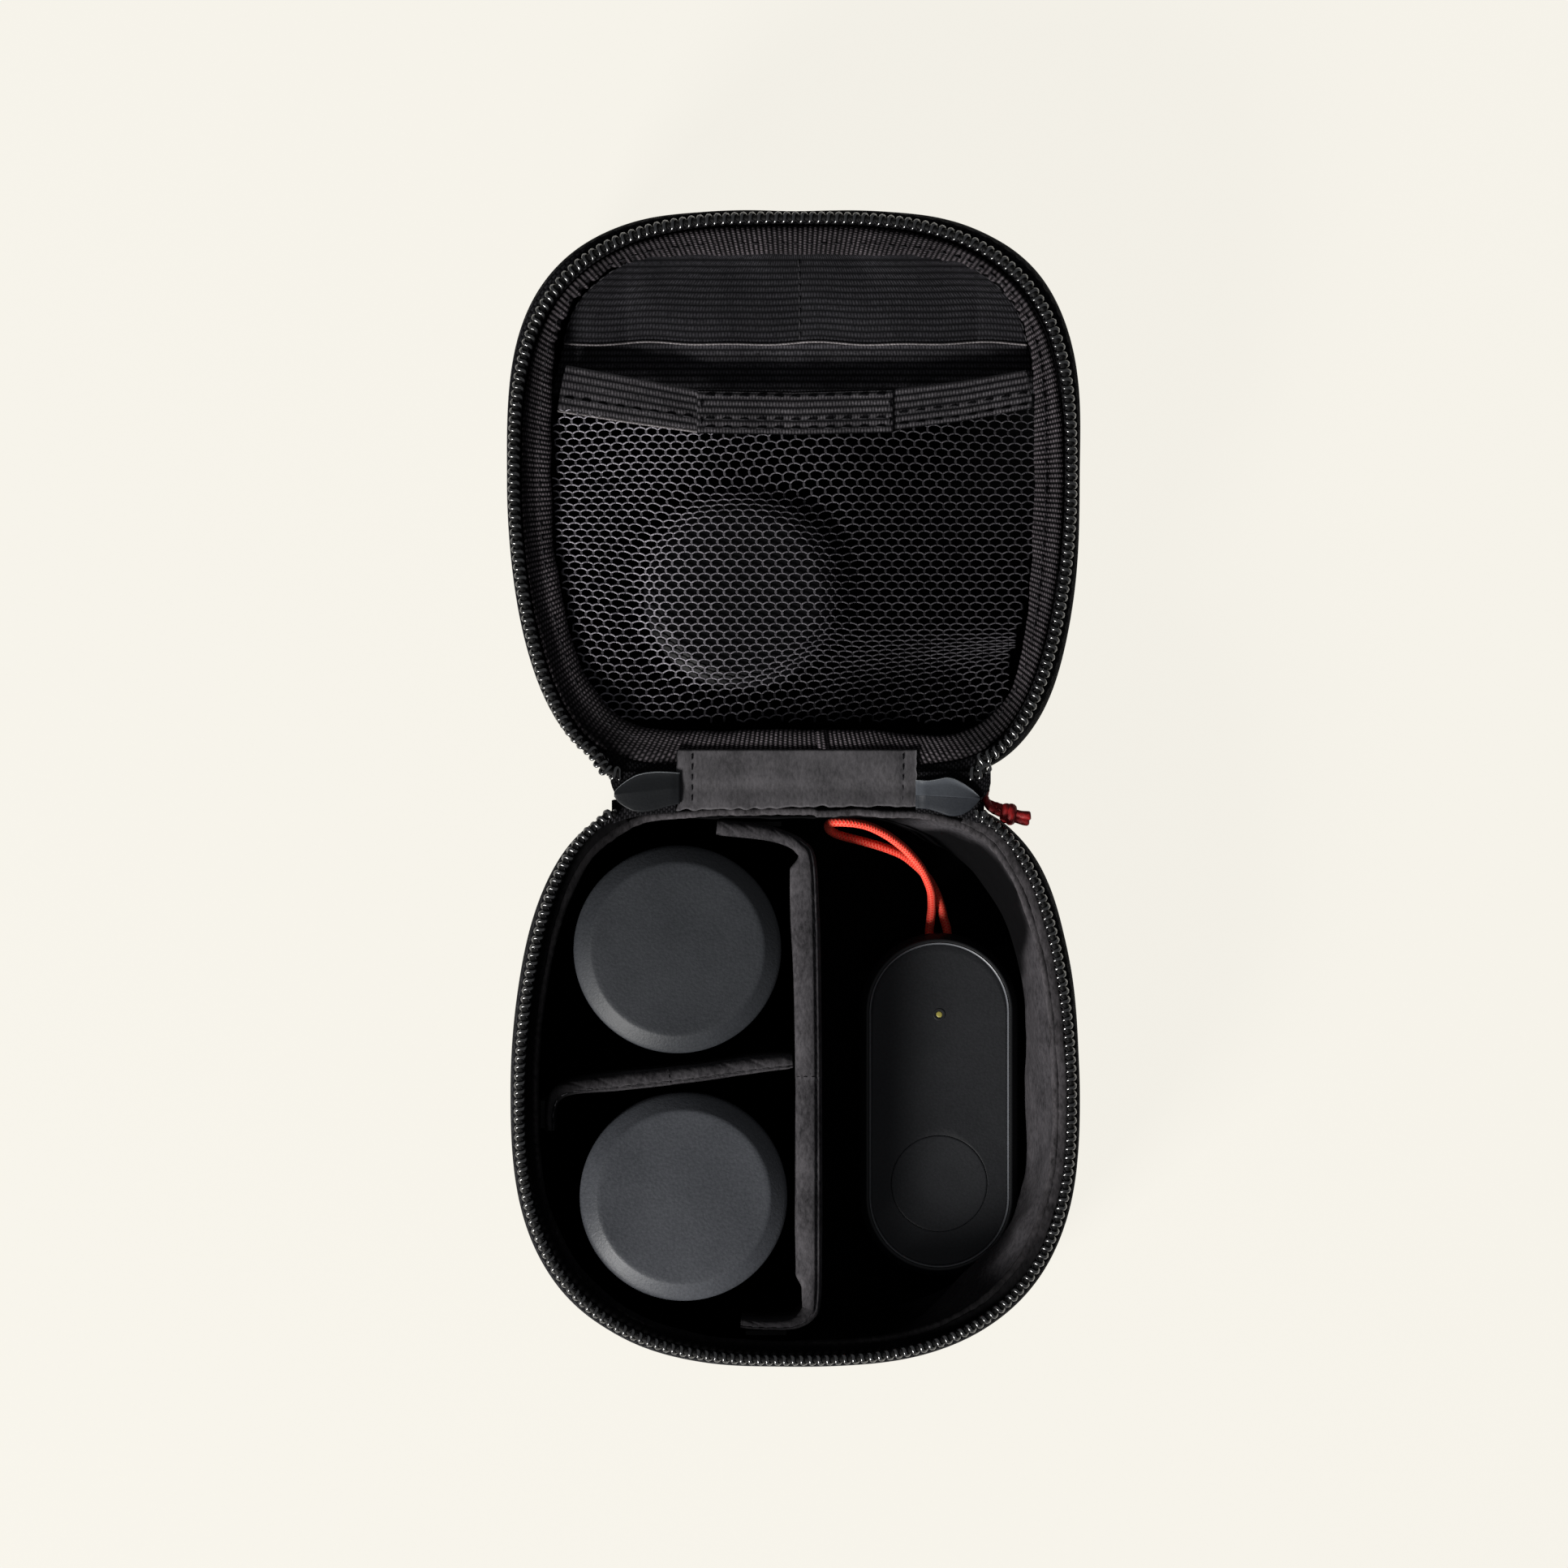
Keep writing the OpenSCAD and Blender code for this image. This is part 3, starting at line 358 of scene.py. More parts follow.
# Ribbed webbing: ribs across u, each rib a row of small threads along v
def buildRibs(desk, given):
    part = desk.parts(given["Vector"])
    u = desk.math("DIVIDE", part[0], given["Rib"])
    v = desk.math("DIVIDE", part[1], given["Thread"])
    rib = desk.ridges(u, 0.8)
    bead = desk.ridges(desk.math("ADD", v, desk.times(desk.math("FLOOR", u), 0.5)), 0.6)
    return [desk.times(rib, desk.math("MULTIPLY_ADD", bead, 0.75, 0.25)), rib]


# Soft blotches and fine specks over a surface
def buildMottle(desk, given):
    large = desk.noise(given["Vector"], given["Large"], 3.0, 0.55)
    fine = desk.noise(given["Vector"], given["Fine"], 2.0, 0.6)
    return [desk.ramp(large, 0.0, 1.0, 0.3, 0.7), desk.ramp(fine, 0.0, 1.0, 0.25, 0.75)]


# Nap of brushed cloth: short fibres lying in bundles
def buildNap(desk, given):
    stretch = desk.put(desk.add("ShaderNodeMapping"), Vector=given["Vector"],
                       Scale=(1.0, 0.45, 1.0), Rotation=(0.0, 0.0, 0.5))
    fibre = desk.noise(stretch.outputs[0], given["Fibre"], 3.0, 0.7)
    patch = desk.noise(given["Vector"], given["Patch"], 2.0, 0.5)
    return [desk.math("MULTIPLY_ADD", patch, 0.5, fibre), desk.ramp(patch, 0.0, 1.0, 0.3, 0.7),
            fibre]


# Worn edges, from how sharp the surface is
def buildWear(desk, given):
    point = desk.add("ShaderNodeNewGeometry").outputs["Pointiness"]
    broken = desk.noise(given["Vector"], given["Scale"], 4.0, 0.6)
    mask = desk.times(desk.ramp(point, 0.0, 1.0, 0.5, 0.56),
                      desk.ramp(broken, 0.0, 1.0, 0.35, 0.65))
    return [desk.times(mask, given["Amount"])]


weaveGroup = makeGroup("clothWeave", {"Warp": 0.5, "Weft": 0.5}, ["Height"], buildWeave)
ribGroup = makeGroup("webbingRibs", {"Rib": 0.85, "Thread": 0.5}, ["Height", "Rib"], buildRibs)
mottleGroup = makeGroup("mottle", {"Large": 60.0, "Fine": 2500.0}, ["Large", "Fine"], buildMottle)
napGroup = makeGroup("brushedNap", {"Fibre": 1600.0, "Patch": 160.0},
                     ["Height", "Patch", "Fibre"], buildNap)
wearGroup = makeGroup("edgeWear", {"Scale": 400.0, "Amount": 0.5}, ["Mask"], buildWear)


# Starts a material and returns its desk, shader, cloth coordinates in mm and object coordinates
def newMaterial(name, rough, metallic=0.0, **plain):
    material = bpy.data.materials.new(name)
    material.use_nodes = True
    desk = NodeDesk(material.node_tree)
    shader = material.node_tree.nodes["Principled BSDF"]
    desk.put(shader, Roughness=rough, Metallic=metallic, **plain)
    cloth = desk.add("ShaderNodeUVMap", uv_map="cloth").outputs[0]
    place = desk.add("ShaderNodeTexCoord").outputs["Object"]
    return material, desk, shader, cloth, place


def bumped(desk, shader, height, distance, strength=1.0):
    bump = desk.put(desk.add("ShaderNodeBump"), Height=height, Distance=distance * mm,
                    Strength=strength)
    desk.put(shader, Normal=bump.outputs[0])


# From the 0 to 255 values of a screen to linear light
def rgb(*screen):
    shares = [c / 255 for c in screen]
    return (*[c / 12.92 if c <= 0.04045 else ((c + 0.055) / 1.055) ** 2.4 for c in shares], 1.0)


# Colour from dark to light. shaded cloth gets painted shade: its colour is darkened towards black
# where the mesh's shade value is low
def coloured(desk, shader, dark, light, mask, shaded=False):
    colour = desk.tint(rgb(*dark), rgb(*light), mask)
    if shaded:
        amount = desk.add("ShaderNodeAttribute", attribute_name="shade").outputs["Fac"]
        colour = desk.tint((0.0006, 0.0006, 0.0008, 1.0), colour, amount)
    desk.put(shader, Base_Color=colour)


# Woven and ribbed cloth: its group, roughness, specular level, sizes and strengths of the mottle
weaves = {
    "woven": (weaveGroup, 0.85, 0.06, (55.0, 2600.0), (0.7, 1.1), (0.3, 1.0)),
    "ribbed": (ribGroup, 0.75, 0.08, (90.0, 2200.0), (0.6, 1.15), (0.2, 1.3)),
}


def weaveMaterial(kind, name, dark, light, first, second, bump, sharp, shaded=False):
    group, rough, specular, sizes, blotches, specks = weaves[kind]
    material, desk, shader, cloth, place = newMaterial(name, rough, Specular_IOR_Level=specular)
    height = desk.use(group, Vector=cloth, i1=first, i2=second)[0]
    mottle = desk.use(mottleGroup, Vector=place, Large=sizes[0], Fine=sizes[1])
    mask = desk.times(desk.math("POWER", height, sharp), desk.ramp(mottle[1], *specks))
    mask = desk.times(mask, desk.ramp(mottle[0], *blotches))
    coloured(desk, shader, dark, light, mask, shaded)
    bumped(desk, shader, height, bump)
    return material


def nappedMaterial(name, dark, light, bump, rough=0.95, sheen=0.0, fibre=1500.0, patch=130.0,
                   shaded=False):
    material, desk, shader, _, place = newMaterial(name, rough, Sheen_Weight=sheen,
                                                   Sheen_Roughness=0.6, Specular_IOR_Level=0.05)
    nap = desk.use(napGroup, Vector=place, Fibre=fibre, Patch=patch)
    mask = desk.math("MULTIPLY_ADD", nap["Patch"], 0.45,
                     desk.ramp(nap["Fibre"], -0.2, 0.75, 0.25, 0.75))
    coloured(desk, shader, dark, light, mask, shaded)
    bumped(desk, shader, nap["Height"], bump)
    return material


def mouldedMaterial(name, dark, light, rough, bump, grain=2600.0, wear=0.25, specular=0.5,
                    coat=0.0):
    material, desk, shader, _, place = newMaterial(name, rough, Specular_IOR_Level=specular,
                                                   Coat_Weight=coat, Coat_Roughness=0.3)
    mottle = desk.use(mottleGroup, Vector=place, Large=45.0, Fine=grain)
    worn = desk.use(wearGroup, Vector=place, Scale=300.0, Amount=wear)[0]
    mask = desk.math("MULTIPLY_ADD", mottle[0], 0.35, desk.ramp(mottle[1], 0.1, 0.5))
    coloured(desk, shader, dark, light, desk.math("MAXIMUM", mask, worn))
    desk.put(shader, Roughness=desk.ramp(mottle[0], rough - 0.05, rough + 0.06))
    bumped(desk, shader, mottle[1], bump)
    return material


def metalMaterial(name, dark, light, rough, metallic=1.0):
    material, desk, shader, _, place = newMaterial(name, rough, metallic)
    stretch = desk.put(desk.add("ShaderNodeMapping"), Vector=place, Scale=(1.0, 1.0, 30.0))
    scratches = desk.noise(stretch.outputs[0], 350.0, 4.0, 0.6)
    worn = desk.use(wearGroup, Vector=place, Scale=500.0, Amount=0.6)[0]
    mask = desk.math("MAXIMUM", desk.ramp(scratches, 0.0, 0.6, 0.35, 0.65), worn)
    coloured(desk, shader, dark, light, mask)
    desk.put(shader, Roughness=desk.ramp(scratches, rough - 0.08, rough + 0.1, 0.3, 0.7))
    bumped(desk, shader, scratches, 0.01)
    return material


def glassMaterial(name, tint):
    material, desk, shader, _, place = newMaterial(name, 0.03, Transmission_Weight=1.0, IOR=1.6,
                                                   Coat_Weight=1.0, Coat_Roughness=0.02)
    haze = desk.noise(place, 180.0, 3.0, 0.5)
    desk.put(shader, Base_Color=desk.tint(tint, (0.75, 0.8, 0.95, 1.0), desk.ramp(haze, 0.0, 0.3)))
    bumped(desk, shader, haze, 0.002, 0.3)
    return material


def braidedMaterial(name, dark, light, pitch, turn, bump):
    material, desk, shader, cloth, place = newMaterial(name, 0.55, Sheen_Weight=0.1,
                                                       Sheen_Roughness=0.4,
                                                       Specular_IOR_Level=0.3)
    part = desk.parts(cloth)
    u = desk.times(part[0], 2 * math.pi / turn)
    v = desk.times(part[1], 2 * math.pi / pitch)
    strand = desk.math("MAXIMUM", desk.math("SINE", desk.math("ADD", u, v)),
                       desk.math("SINE", desk.math("SUBTRACT", v, u)))
    strand = desk.ramp(strand, 0.0, 1.0, -0.2, 1.0)
    fuzz = desk.noise(place, 3500.0, 2.0, 0.6)
    coloured(desk, shader, dark, light, desk.times(strand, desk.ramp(fuzz, 0.55, 1.15, 0.3, 0.7)))
    bumped(desk, shader, desk.math("MULTIPLY_ADD", fuzz, 0.3, strand), bump)
    return material


# Each cloth: weave, name, dark and light, sizes of its threads, bump and sharpness
cloths = {key: weaveMaterial(*row) for key, row in {
    "shell": ("woven", "shellCloth", (3, 3, 4), (46, 46, 49), 0.62, 0.62, 0.09, 1.6),
    "tape": ("woven", "zipTapeCloth", (1, 1, 2), (46, 45, 48), 0.52, 0.52, 0.1, 3.0),
    "webbing": ("ribbed", "webbingCloth", (2, 2, 3), (112, 105, 110), 1.0, 0.52, 0.16, 2.6, True),
    "elastic": ("ribbed", "elasticCloth", (5, 5, 7), (98, 95, 99), 1.35, 0.62, 0.1, 2.2),
    "panel": ("ribbed", "panelCloth", (5, 5, 7), (52, 51, 55), 1.27, 0.6, 0.1, 1.7),
    # the back panel's cloth is the panel cloth made lighter: painted light for the panel that lies
    # in the shadow of the band and the hem
    "panelBack": ("ribbed", "panelBackPaintedLightCloth", (10, 10, 12), (88, 86, 91), 1.27, 0.6, 0.1, 1.7),
    # the edge cloth is lighter than the elastic: a painted highlight along rolled edges
    "edge": ("ribbed", "elasticEdgeHighlight", (50, 48, 49), (138, 133, 135), 0.6, 0.6, 0.06, 1.0),
}.items()}
cloths["hooks"] = mouldedMaterial("hookTape", (6, 6, 6), (18, 18, 18), 0.6, 0.02, specular=0.15)
for key, name, dark, light, bump, more in (
        ("lining", "liningCloth", (34, 33, 35), (68, 66, 69), 0.06, {"shaded": True}),
        # the floor cloth is near black: painted shade for the floors deep in the case
        ("floor", "floorPaintedShadeCloth", (2, 2, 3), (12, 12, 13), 0.05, {}),
        ("hem", "hemCloth", (34, 33, 34), (82, 79, 82), 0.06, {"shaded": True}),
        ("lidLining", "lidLiningCloth", (3, 3, 4), (16, 16, 18), 0.05, {}),
        ("net", "netThread", (84, 82, 88), (170, 166, 174), 0.03,
         {"rough": 0.6, "fibre": 3500.0, "patch": 500.0, "shaded": True}),
        ("hinge", "hingeCloth", (54, 53, 55), (84, 82, 85), 0.04, {"fibre": 1900.0, "sheen": 0.03}),
        ("divider", "dividerCloth", (36, 35, 37), (76, 74, 77), 0.09, {"shaded": True}),
        ("darkThread", "darkThread", (3, 3, 4), (50, 49, 52), 0.02,
         {"rough": 0.6, "fibre": 5000.0, "patch": 900.0}),
        ("thread", "sewingThread", (10, 10, 11), (64, 63, 66), 0.02,
         {"rough": 0.55, "fibre": 5000.0, "patch": 900.0})):
    cloths[key] = nappedMaterial(name, dark, light, bump, **more)

# Each plastic: name, dark and light, roughness, bump, size of grain, wear and specular level
plastics = {key: mouldedMaterial(*row) for key, row in {
    "coil": ("nylonCoil", (2, 2, 3), (8, 8, 9), 0.2, 0.01, 2600.0, 0.05, 0.9, 0.4),
    "cap": ("capPlastic", (35, 37, 41), (71, 73, 78), 0.5, 0.03, 1700.0, 0.1, 0.25),
    # a darker copy of the cap plastic, painted shade for the cap of lens_a
    "capShaded": ("capPlasticShaded", (24, 26, 29), (53, 55, 59), 0.5, 0.03, 1700.0, 0.1, 0.25),
    "darkCap": ("darkCapPlastic", (2, 2, 3), (8, 8, 10), 0.5, 0.012, 3600.0, 0.1, 0.08),
    "light": ("lightPipe", (120, 110, 40), (200, 190, 100), 0.3, 0.01),
    "rearCap": ("rearCapPlastic", (36, 37, 39), (54, 55, 58), 0.5, 0.012, 2600.0, 0.25, 0.25),
    "barrel": ("barrelFinish", (16, 16, 17), (38, 38, 40), 0.38, 0.008, 2600.0, 0.5, 0.4),
    "remote": ("remoteCase", (9, 10, 12), (18, 19, 21), 0.5, 0.014, 3200.0, 0.1, 0.22),
    # the chamfer is light grey, unlike the case: a painted highlight along the plate's edge
    "chamfer": ("remoteChamferHighlight", (70, 72, 76), (105, 107, 112), 0.35, 0.01),
    "plate": ("remotePlate", (17, 18, 20), (39, 40, 43), 0.55, 0.02, 1900.0, 0.05, 0.2),
    "button": ("remoteButton", (20, 21, 23), (43, 44, 47), 0.52, 0.018, 1900.0, 0.05, 0.2),
    "tabDark": ("tabRubber", (13, 14, 16), (26, 28, 30), 0.45, 0.012, 2600.0, 0.1, 0.15),
    # lit and shaded copies of the tab rubber, and a lighter one as a painted highlight for the
    # tabs' lip
    "tabLight": ("tabRubberPaintedLit", (62, 65, 70), (78, 82, 88), 0.42, 0.01, 2600.0, 0.2, 0.2),
    "tabShade": ("tabRubberPaintedShade", (32, 34, 38), (48, 51, 56), 0.45, 0.01, 2600.0, 0.2, 0.15),
    "tabHighlight": ("tabRubberPaintedHighlight", (90, 94, 98), (180, 184, 188), 0.4, 0.01, 2600.0, 0.5, 0.4),
    "board": ("circuitBoard", (18, 70, 42), (40, 100, 64), 0.4, 0.01),
}.items()}
metals = {
    "slider": metalMaterial("sliderLacquer", (24, 24, 26), (66, 66, 70), 0.35, 0.6),
    "mount": metalMaterial("mountMetal", (176, 177, 182), (222, 223, 228), 0.28),
    "steel": metalMaterial("steel", (168, 168, 170), (214, 214, 216), 0.3),
}
cords = {
    "loop": braidedMaterial("loopCord", (248, 30, 15), (255, 116, 92), 0.66, 1.256, 0.05),
    "pull": braidedMaterial("pullCord", (118, 8, 11), (140, 12, 15), 1.3, 1.2, 0.02),
}
lensGlass = glassMaterial("lensGlass", (0.5, 0.56, 0.72, 1.0))
print("materials made")

# Wrist loop of the remote: its route repeats the solid's, from the middle of the strap end
loop = {
    "end": (28.8, -28.9, 9.2), "diameter": 1.8, "step": 0.09, "sides": 20,
    "route": [
        (-1.9, -2.5, 0), (-1.9, 0.4, 0.3), (-1.7, 2.4, 1.2), (-1.5, 4.4, 2.4), (-1.5, 6.4, 3.9),
        (-1.8, 8.4, 5.5), (-2.8, 10.6, 7.2), (-4.4, 12.9, 8.9), (-7, 15.4, 10.8),
        (-9.4, 17.1, 12.2), (-12, 18.7, 13.6), (-15, 20.2, 15), (-17.4, 21, 15.9),
        (-19.2, 21.4, 16.2), (-20.8, 21.6, 16), (-21.9, 21.6, 15.2), (-22.3, 21.2, 14.1),
        (-22, 20.5, 12.9), (-20.9, 19.8, 12), (-19, 19, 11.6), (-16.3, 18, 11.2),
        (-12.1, 16.4, 10.3), (-8.1, 14.5, 8.5), (-5, 12.1, 6.5), (-2.8, 10.1, 4.7),
        (-1.3, 8.3, 3.2), (-0.3, 6.7, 2.1), (0.5, 4.8, 1), (1, 2.8, 0.5), (1.6, 0.9, 0.15),
        (2, -2.5, 0)],
}
loopRoute = np.array(loop["route"], float)
place = np.arange(len(loopRoute))
# both strands bow out a little, and the bend at the top is full
loopRoute[:, :2] += np.outer(np.exp(-((place - 10) / 3.6) ** 2)
                             + 0.9 * np.exp(-((place - 22.5) / 3) ** 2), (0.7, 1.4))
loopRoute[:, 1] += 0.35 * np.exp(-((place - 15) / 2.5) ** 2)
loopRoute[:, 2] *= 1 + 0.26 * np.clip((loopRoute[:, 2] - 2) / 6, 0, 1)
loopLine = smoothLine(loopRoute + np.array(loop["end"]), loop["step"])


def braidRadius(s, angle):
    wave = np.maximum(np.sin(4 * angle + s * 9.5), np.sin(4 * angle - s * 9.5))
    return loop["diameter"] / 2 * (0.94 + 0.06 * wave)


wristLoop = addPiece("wristLoop", tube(loopLine, braidRadius, loop["sides"]), cords["loop"],
                     "remote", "loop_cord", "remote_wrist_loop")
loopLength = float(spread(loopLine)[-1])
print("wrist loop laid,", round(loopLength, 1), "mm long")

# Shape of the two halves: the same outline of the rim as the solids have
case = {
    "halfWidth": 54.3, "hinge": 2.8, "widest": 61, "centre": {"lid": 61, "base": -61},
    "far": 112.5, "taper": 0.215,
    "nearPower": 7, "power": {"lid": 3.02, "base": 2.68}, "corner": {"lid": 1.3, "base": 0.0},
    "belly": 2.3, "bellyHeight": 24, "tuck": 0.4, "top": 34, "floorRound": 9,
    "zipEnd": 41, "coilHeight": 37.15, "start": -84,
}


# Point at angle u of a rounded square, the squarer the higher n
def lobe(u, n):
    c, s = np.cos(u), np.sin(u)
    r = (np.abs(c) ** n + np.abs(s) ** n) ** (-1 / n)
    return c * r, s * r


# Point at angle u of a half's outline, moved inwards by inset
def rimPoint(u, inset, z, half):
    fx, fy = lobe(u, case["power"][half])
    nx, ny = lobe(u, case["nearPower"])
    far, w, wide = np.sin(u) >= 0, case["halfWidth"] - inset, case["widest"]
    x = np.where(far, w * fx, w * nx * (1 - case["taper"] * ny ** 2))
    y = np.where(far, wide + (case["far"] - inset - wide) * fy,
                 wide + (wide - case["hinge"] - inset) * ny)
    # the lid's mouth was pulled a little to the left when the case was laid open
    pull = 1.1 * np.maximum(0, -np.cos(u)) ** 0.7 * (half == "lid")
    x = x - pull * smoothStep(np.asarray(z, float), 22, 34)
    return np.stack(np.broadcast_arrays(x, y if half == "lid" else -y, z), -1)


# How far a wall stands out beyond that outline at angle u and height z
def bulge(u, z, half):
    up = np.where(z < case["bellyHeight"], 1 - (1 - z / case["bellyHeight"]) ** 2,
                  1 - case["tuck"] * ((z - case["bellyHeight"]) / 10) ** 2)
    near = np.maximum(0, -lobe(u, case["nearPower"])[1])
    corner = np.where(np.sin(u) > 0, case["corner"][half] * np.sin(2 * u) ** 2, 0)
    # the corners by the hinge are pushed out on the right
    side = np.where(np.sin(u) < 0, np.where(np.cos(u) > 0, 1.3, 0.3) * np.sin(2 * u) ** 2, 0)
    return (case["belly"] * (1 - near ** 4) + corner + side * (1 if half == "lid" else 0.65)) * up


# Angles that are evenly spaced along the rim, from one angle to another
def rimAngles(half, count, first=None, last=None, inset=0.0):
    first = case["start"] if first is None else first
    last = case["start"] + 360 if last is None else last
    u = np.radians(np.linspace(first, last, 4000))
    s = spread(rimPoint(u, inset, 0.0, half))
    return np.interp(np.linspace(0, s[-1], count), s, u), s[-1]


# 1 in the middle of the hinge side, falling off along the rim
def nearHinge(u, width=0.74):
    return np.exp(-((np.mod(u + 1.5 * math.pi, 2 * math.pi) - math.pi) / width) ** 4)


# 1 at the corner by the hinge on the right
def nearRight(u):
    return np.where((np.sin(u) < 0) & (np.cos(u) > 0), np.sin(2 * u) ** 4, 0)


# 1 at the two far corners
def farCorner(u):
    return np.where(np.sin(u) > 0, np.sin(2 * u) ** 4, 0)


# Rings of a wall: inset and height, a depth below the outer face
def wallRings(depth, top):
    r = case["floorRound"]
    a = np.radians(np.linspace(90, 0, 11))
    z = r + (top - r) * np.linspace(0, 1, 17)[1:]
    return np.vstack([stack(r - (r - depth) * np.cos(a), r - (r - depth) * np.sin(a)),
                      stack(np.full(16, depth), z)])


# Thin cup between two depths. shift(u, z) moves the inner face inwards
def cup(half, depthOut, depthIn, top, count, shift=None, lip=0.5):
    u, length = rimAngles(half, count + 1)
    u = u[:-1]
    centre = np.array([0, case["centre"][half], 0])

    def face(depth, outer):
        rings = wallRings(depth, top - lip * 0.5)
        extra = (lambda u, z: 0) if outer or shift is None else shift
        rows = [rimPoint(u, inset - bulge(u, z, half) + extra(u, z), z, half)
                for inset, z in rings]
        return [centre * (1 - k) + rows[0] * k + np.array([0, 0, rings[0][1] * (1 - k)])
                for k in (0.02, 0.3, 0.55, 0.75, 0.9)] + rows

    outside, inside = face(depthOut, True), face(depthIn, False)
    middle = []
    for a in np.radians([30, 60, 90, 120, 150]):
        side, up = (1 - math.cos(a)) / 2, math.sin(a)
        ringPoints = outside[-1] * (1 - side) + inside[-1] * side
        ringPoints[:, 2] = top - lip * 0.5 + up * lip * 0.5
        middle.append(ringPoints)
    rows = np.array(outside + middle + inside[::-1])
    p, f, t = loft(rows, caps=True, u=np.linspace(0, length, count + 1),
                   v=spread(rows[:, count // 3]))
    low = p[f[0]][:, :, 2].max(1) < depthIn + 0.02
    t[0][low] = p[f[0][low]][:, :, :2]
    return p, f, t


# Strip along the rim. profile has rows of inset and height, which move(u, s, inset, z) shifts
def rimStrip(half, profile, count, first=None, last=None, move=None):
    full = first is None
    u, length = rimAngles(half, count + 1, first, last, 2.0)
    if full:
        u = u[:-1]
    profile = np.asarray(profile, float)
    s = np.linspace(0, length, count + 1)[:len(u)]
    inset, z = (np.broadcast_to(x, (len(u), len(profile))) for x in profile.T)
    if move is not None:
        inset, z = move(u[:, None], s[:, None], inset, z)
    rows = rimPoint(u[:, None], inset, z, half)
    across = spread(stack(*profile.T, 0), True)
    p, f, t = loft(rows, ring=full, caps=not full, u=across, v=np.linspace(0, length, count + 1))
    return p, f, [x[..., ::-1] for x in t]


# Corners of a closed outline rounded off
def roundedOutline(points, r, steps=4, closed=True):
    points = np.asarray(points, float)
    out, n = [], len(points)
    for i in range(n):
        p = points[i]
        if not closed and i in (0, n - 1):
            out.append(p)
            continue
        a, b = points[i - 1] - p, points[(i + 1) % n] - p
        la, lb = np.linalg.norm(a), np.linalg.norm(b)
        cut = min(r, la * 0.45, lb * 0.45)
        a, b = p + a / la * cut, p + b / lb * cut
        for t in np.linspace(0, 1, steps + 1):
            out.append((1 - t) ** 2 * a + 2 * t * (1 - t) * p + t ** 2 * b)
    return np.array(out)


# Body of a sheet: a grid of points thickened downwards, across itself where down is None.
# swap turns the cloth coordinates by a quarter
def slab(grid, thick, down=(0, 0, -1), swap=False):
    if down is None:
        normal = np.cross(np.gradient(grid, axis=1), np.gradient(grid, axis=0))
        normal /= np.linalg.norm(normal, axis=2)[..., None]
        down = normal * (-1 if normal[..., 2].mean() > 0 else 1)
    n, m = grid.shape[:2]
    low = grid + np.asarray(down, float) * thick
    # a middle ring, set out a little, rounds the edge
    side = (grid + low) / 2
    rows = np.concatenate([grid, side[:, -1:], low[:, ::-1], side[:, :1]], 1)
    outward = lambda a, b: (a - b) / np.maximum(np.linalg.norm(a - b, axis=-1), 1e-6)[..., None]
    rows[:, m] += outward(grid[:, -1], grid[:, -2]) * thick * 0.3
    rows[:, -1] += outward(grid[:, 0], grid[:, 1]) * thick * 0.3
    k = rows.shape[1]
    u = spread(grid[n // 2])
    ringU = np.concatenate([u, u[-1:], u[::-1], u[:1], u[:1]])
    v = spread(grid[:, m // 2])
    p, f, t = loft(rows, u=ringU, v=v)
    caps, capUv = [], []
    for row, order in ((0, 1), (n - 1, -1)):
        j = np.arange(m - 1)
        caps.append((stack(j, j + 1, 2 * m - 1 - j, 2 * m - j) + row * k)[:, ::order])
        capUv.append(stack(np.stack([u[j], u[j + 1], u[j + 1], u[j]], -1)[:, ::order],
                               np.full((m - 1, 4), v[row])))
        tri = np.array([[m - 1, m, m + 1], [2 * m, 2 * m + 1, 0]]) + row * k
        caps.append(tri[:, ::order])
        capUv.append(np.zeros((2, 3, 2)) + [u[0], v[row]])
    p, f, t = joinParts([(p, f + caps, t + capUv)])
    return p, f, [x[..., ::-1] for x in t] if swap else t


# Turned shape: profile has rows of radius and height
def lathe(profile, centre, count=96, ring=True):
    profile = np.asarray(profile, float)
    a = np.linspace(0, 2 * math.pi, count, endpoint=False)
    rows = stack(centre[0] + profile[:, :1] * np.cos(a), centre[1] + profile[:, :1] * np.sin(a),
                     np.repeat(profile[:, 1:2], count, 1))
    size = profile[:, 0].max()
    return loft(rows, ring=ring, caps=not ring, u=np.linspace(0, size * 2 * math.pi, count + 1))


# Cover of the moulded shells, with the seam that holds the tape
shell = {"depth": 2.2, "columns": 560, "seamHeight": 31.9, "sewing": (1.7, 1.0, 0.17, 0.08)}


def shellPiece(half):
    p, f, t = cup(half, 0.0, shell["depth"], case["top"], shell["columns"], lip=1.0)
    away = p[:, :2] - [0, case["centre"][half]]
    r = np.maximum(np.hypot(away[:, 0], away[:, 1]), 1)
    soft = noiseField(p[:, 0] + p[:, 2], p[:, 1] - p[:, 2], 26, 3 if half == "lid" else 5)
    tuck = np.exp(-((p[:, 2] - shell["seamHeight"]) / 0.7) ** 2) * 0.28 + 0.07 * (soft + 1)
    outer = np.arange(len(p)) < len(p) * 0.45
    push = np.where(outer & (p[:, 2] > 8), tuck, 0)
    p[:, :2] -= (push / r)[:, None] * away
    u, _ = rimAngles(half, 900, -60, 240)
    z = shell["seamHeight"]
    line = rimPoint(u, 0.27 - bulge(u, z, half), z, half)
    out = rimPoint(u, -1.0 - bulge(u, z, half), z, half) - line
    thread = stitchRow(line, shell["sewing"], out)
    addPiece(half + "ShellCover", (p, f, t), cloths["shell"], half, "shell_cloth", half + "_shell")
    addPiece(half + "ShellSeam", thread, cloths["thread"], half, "shell_cloth")


# Linings with soft folds in the wall and a near-black floor cloth, which is painted shade
lining = {"out": 2.4, "in": 3.0, "top": 33.5, "fold": 0.4, "columns": 520,
          "lightAt": [0, 8, 13, 20, 27, 32, 38, 50, 66],
          "lightReach": [5.0, 5.0, 4.2, 3.1, 3.4, 4.8, 7.0, 8.6, 8.8]}


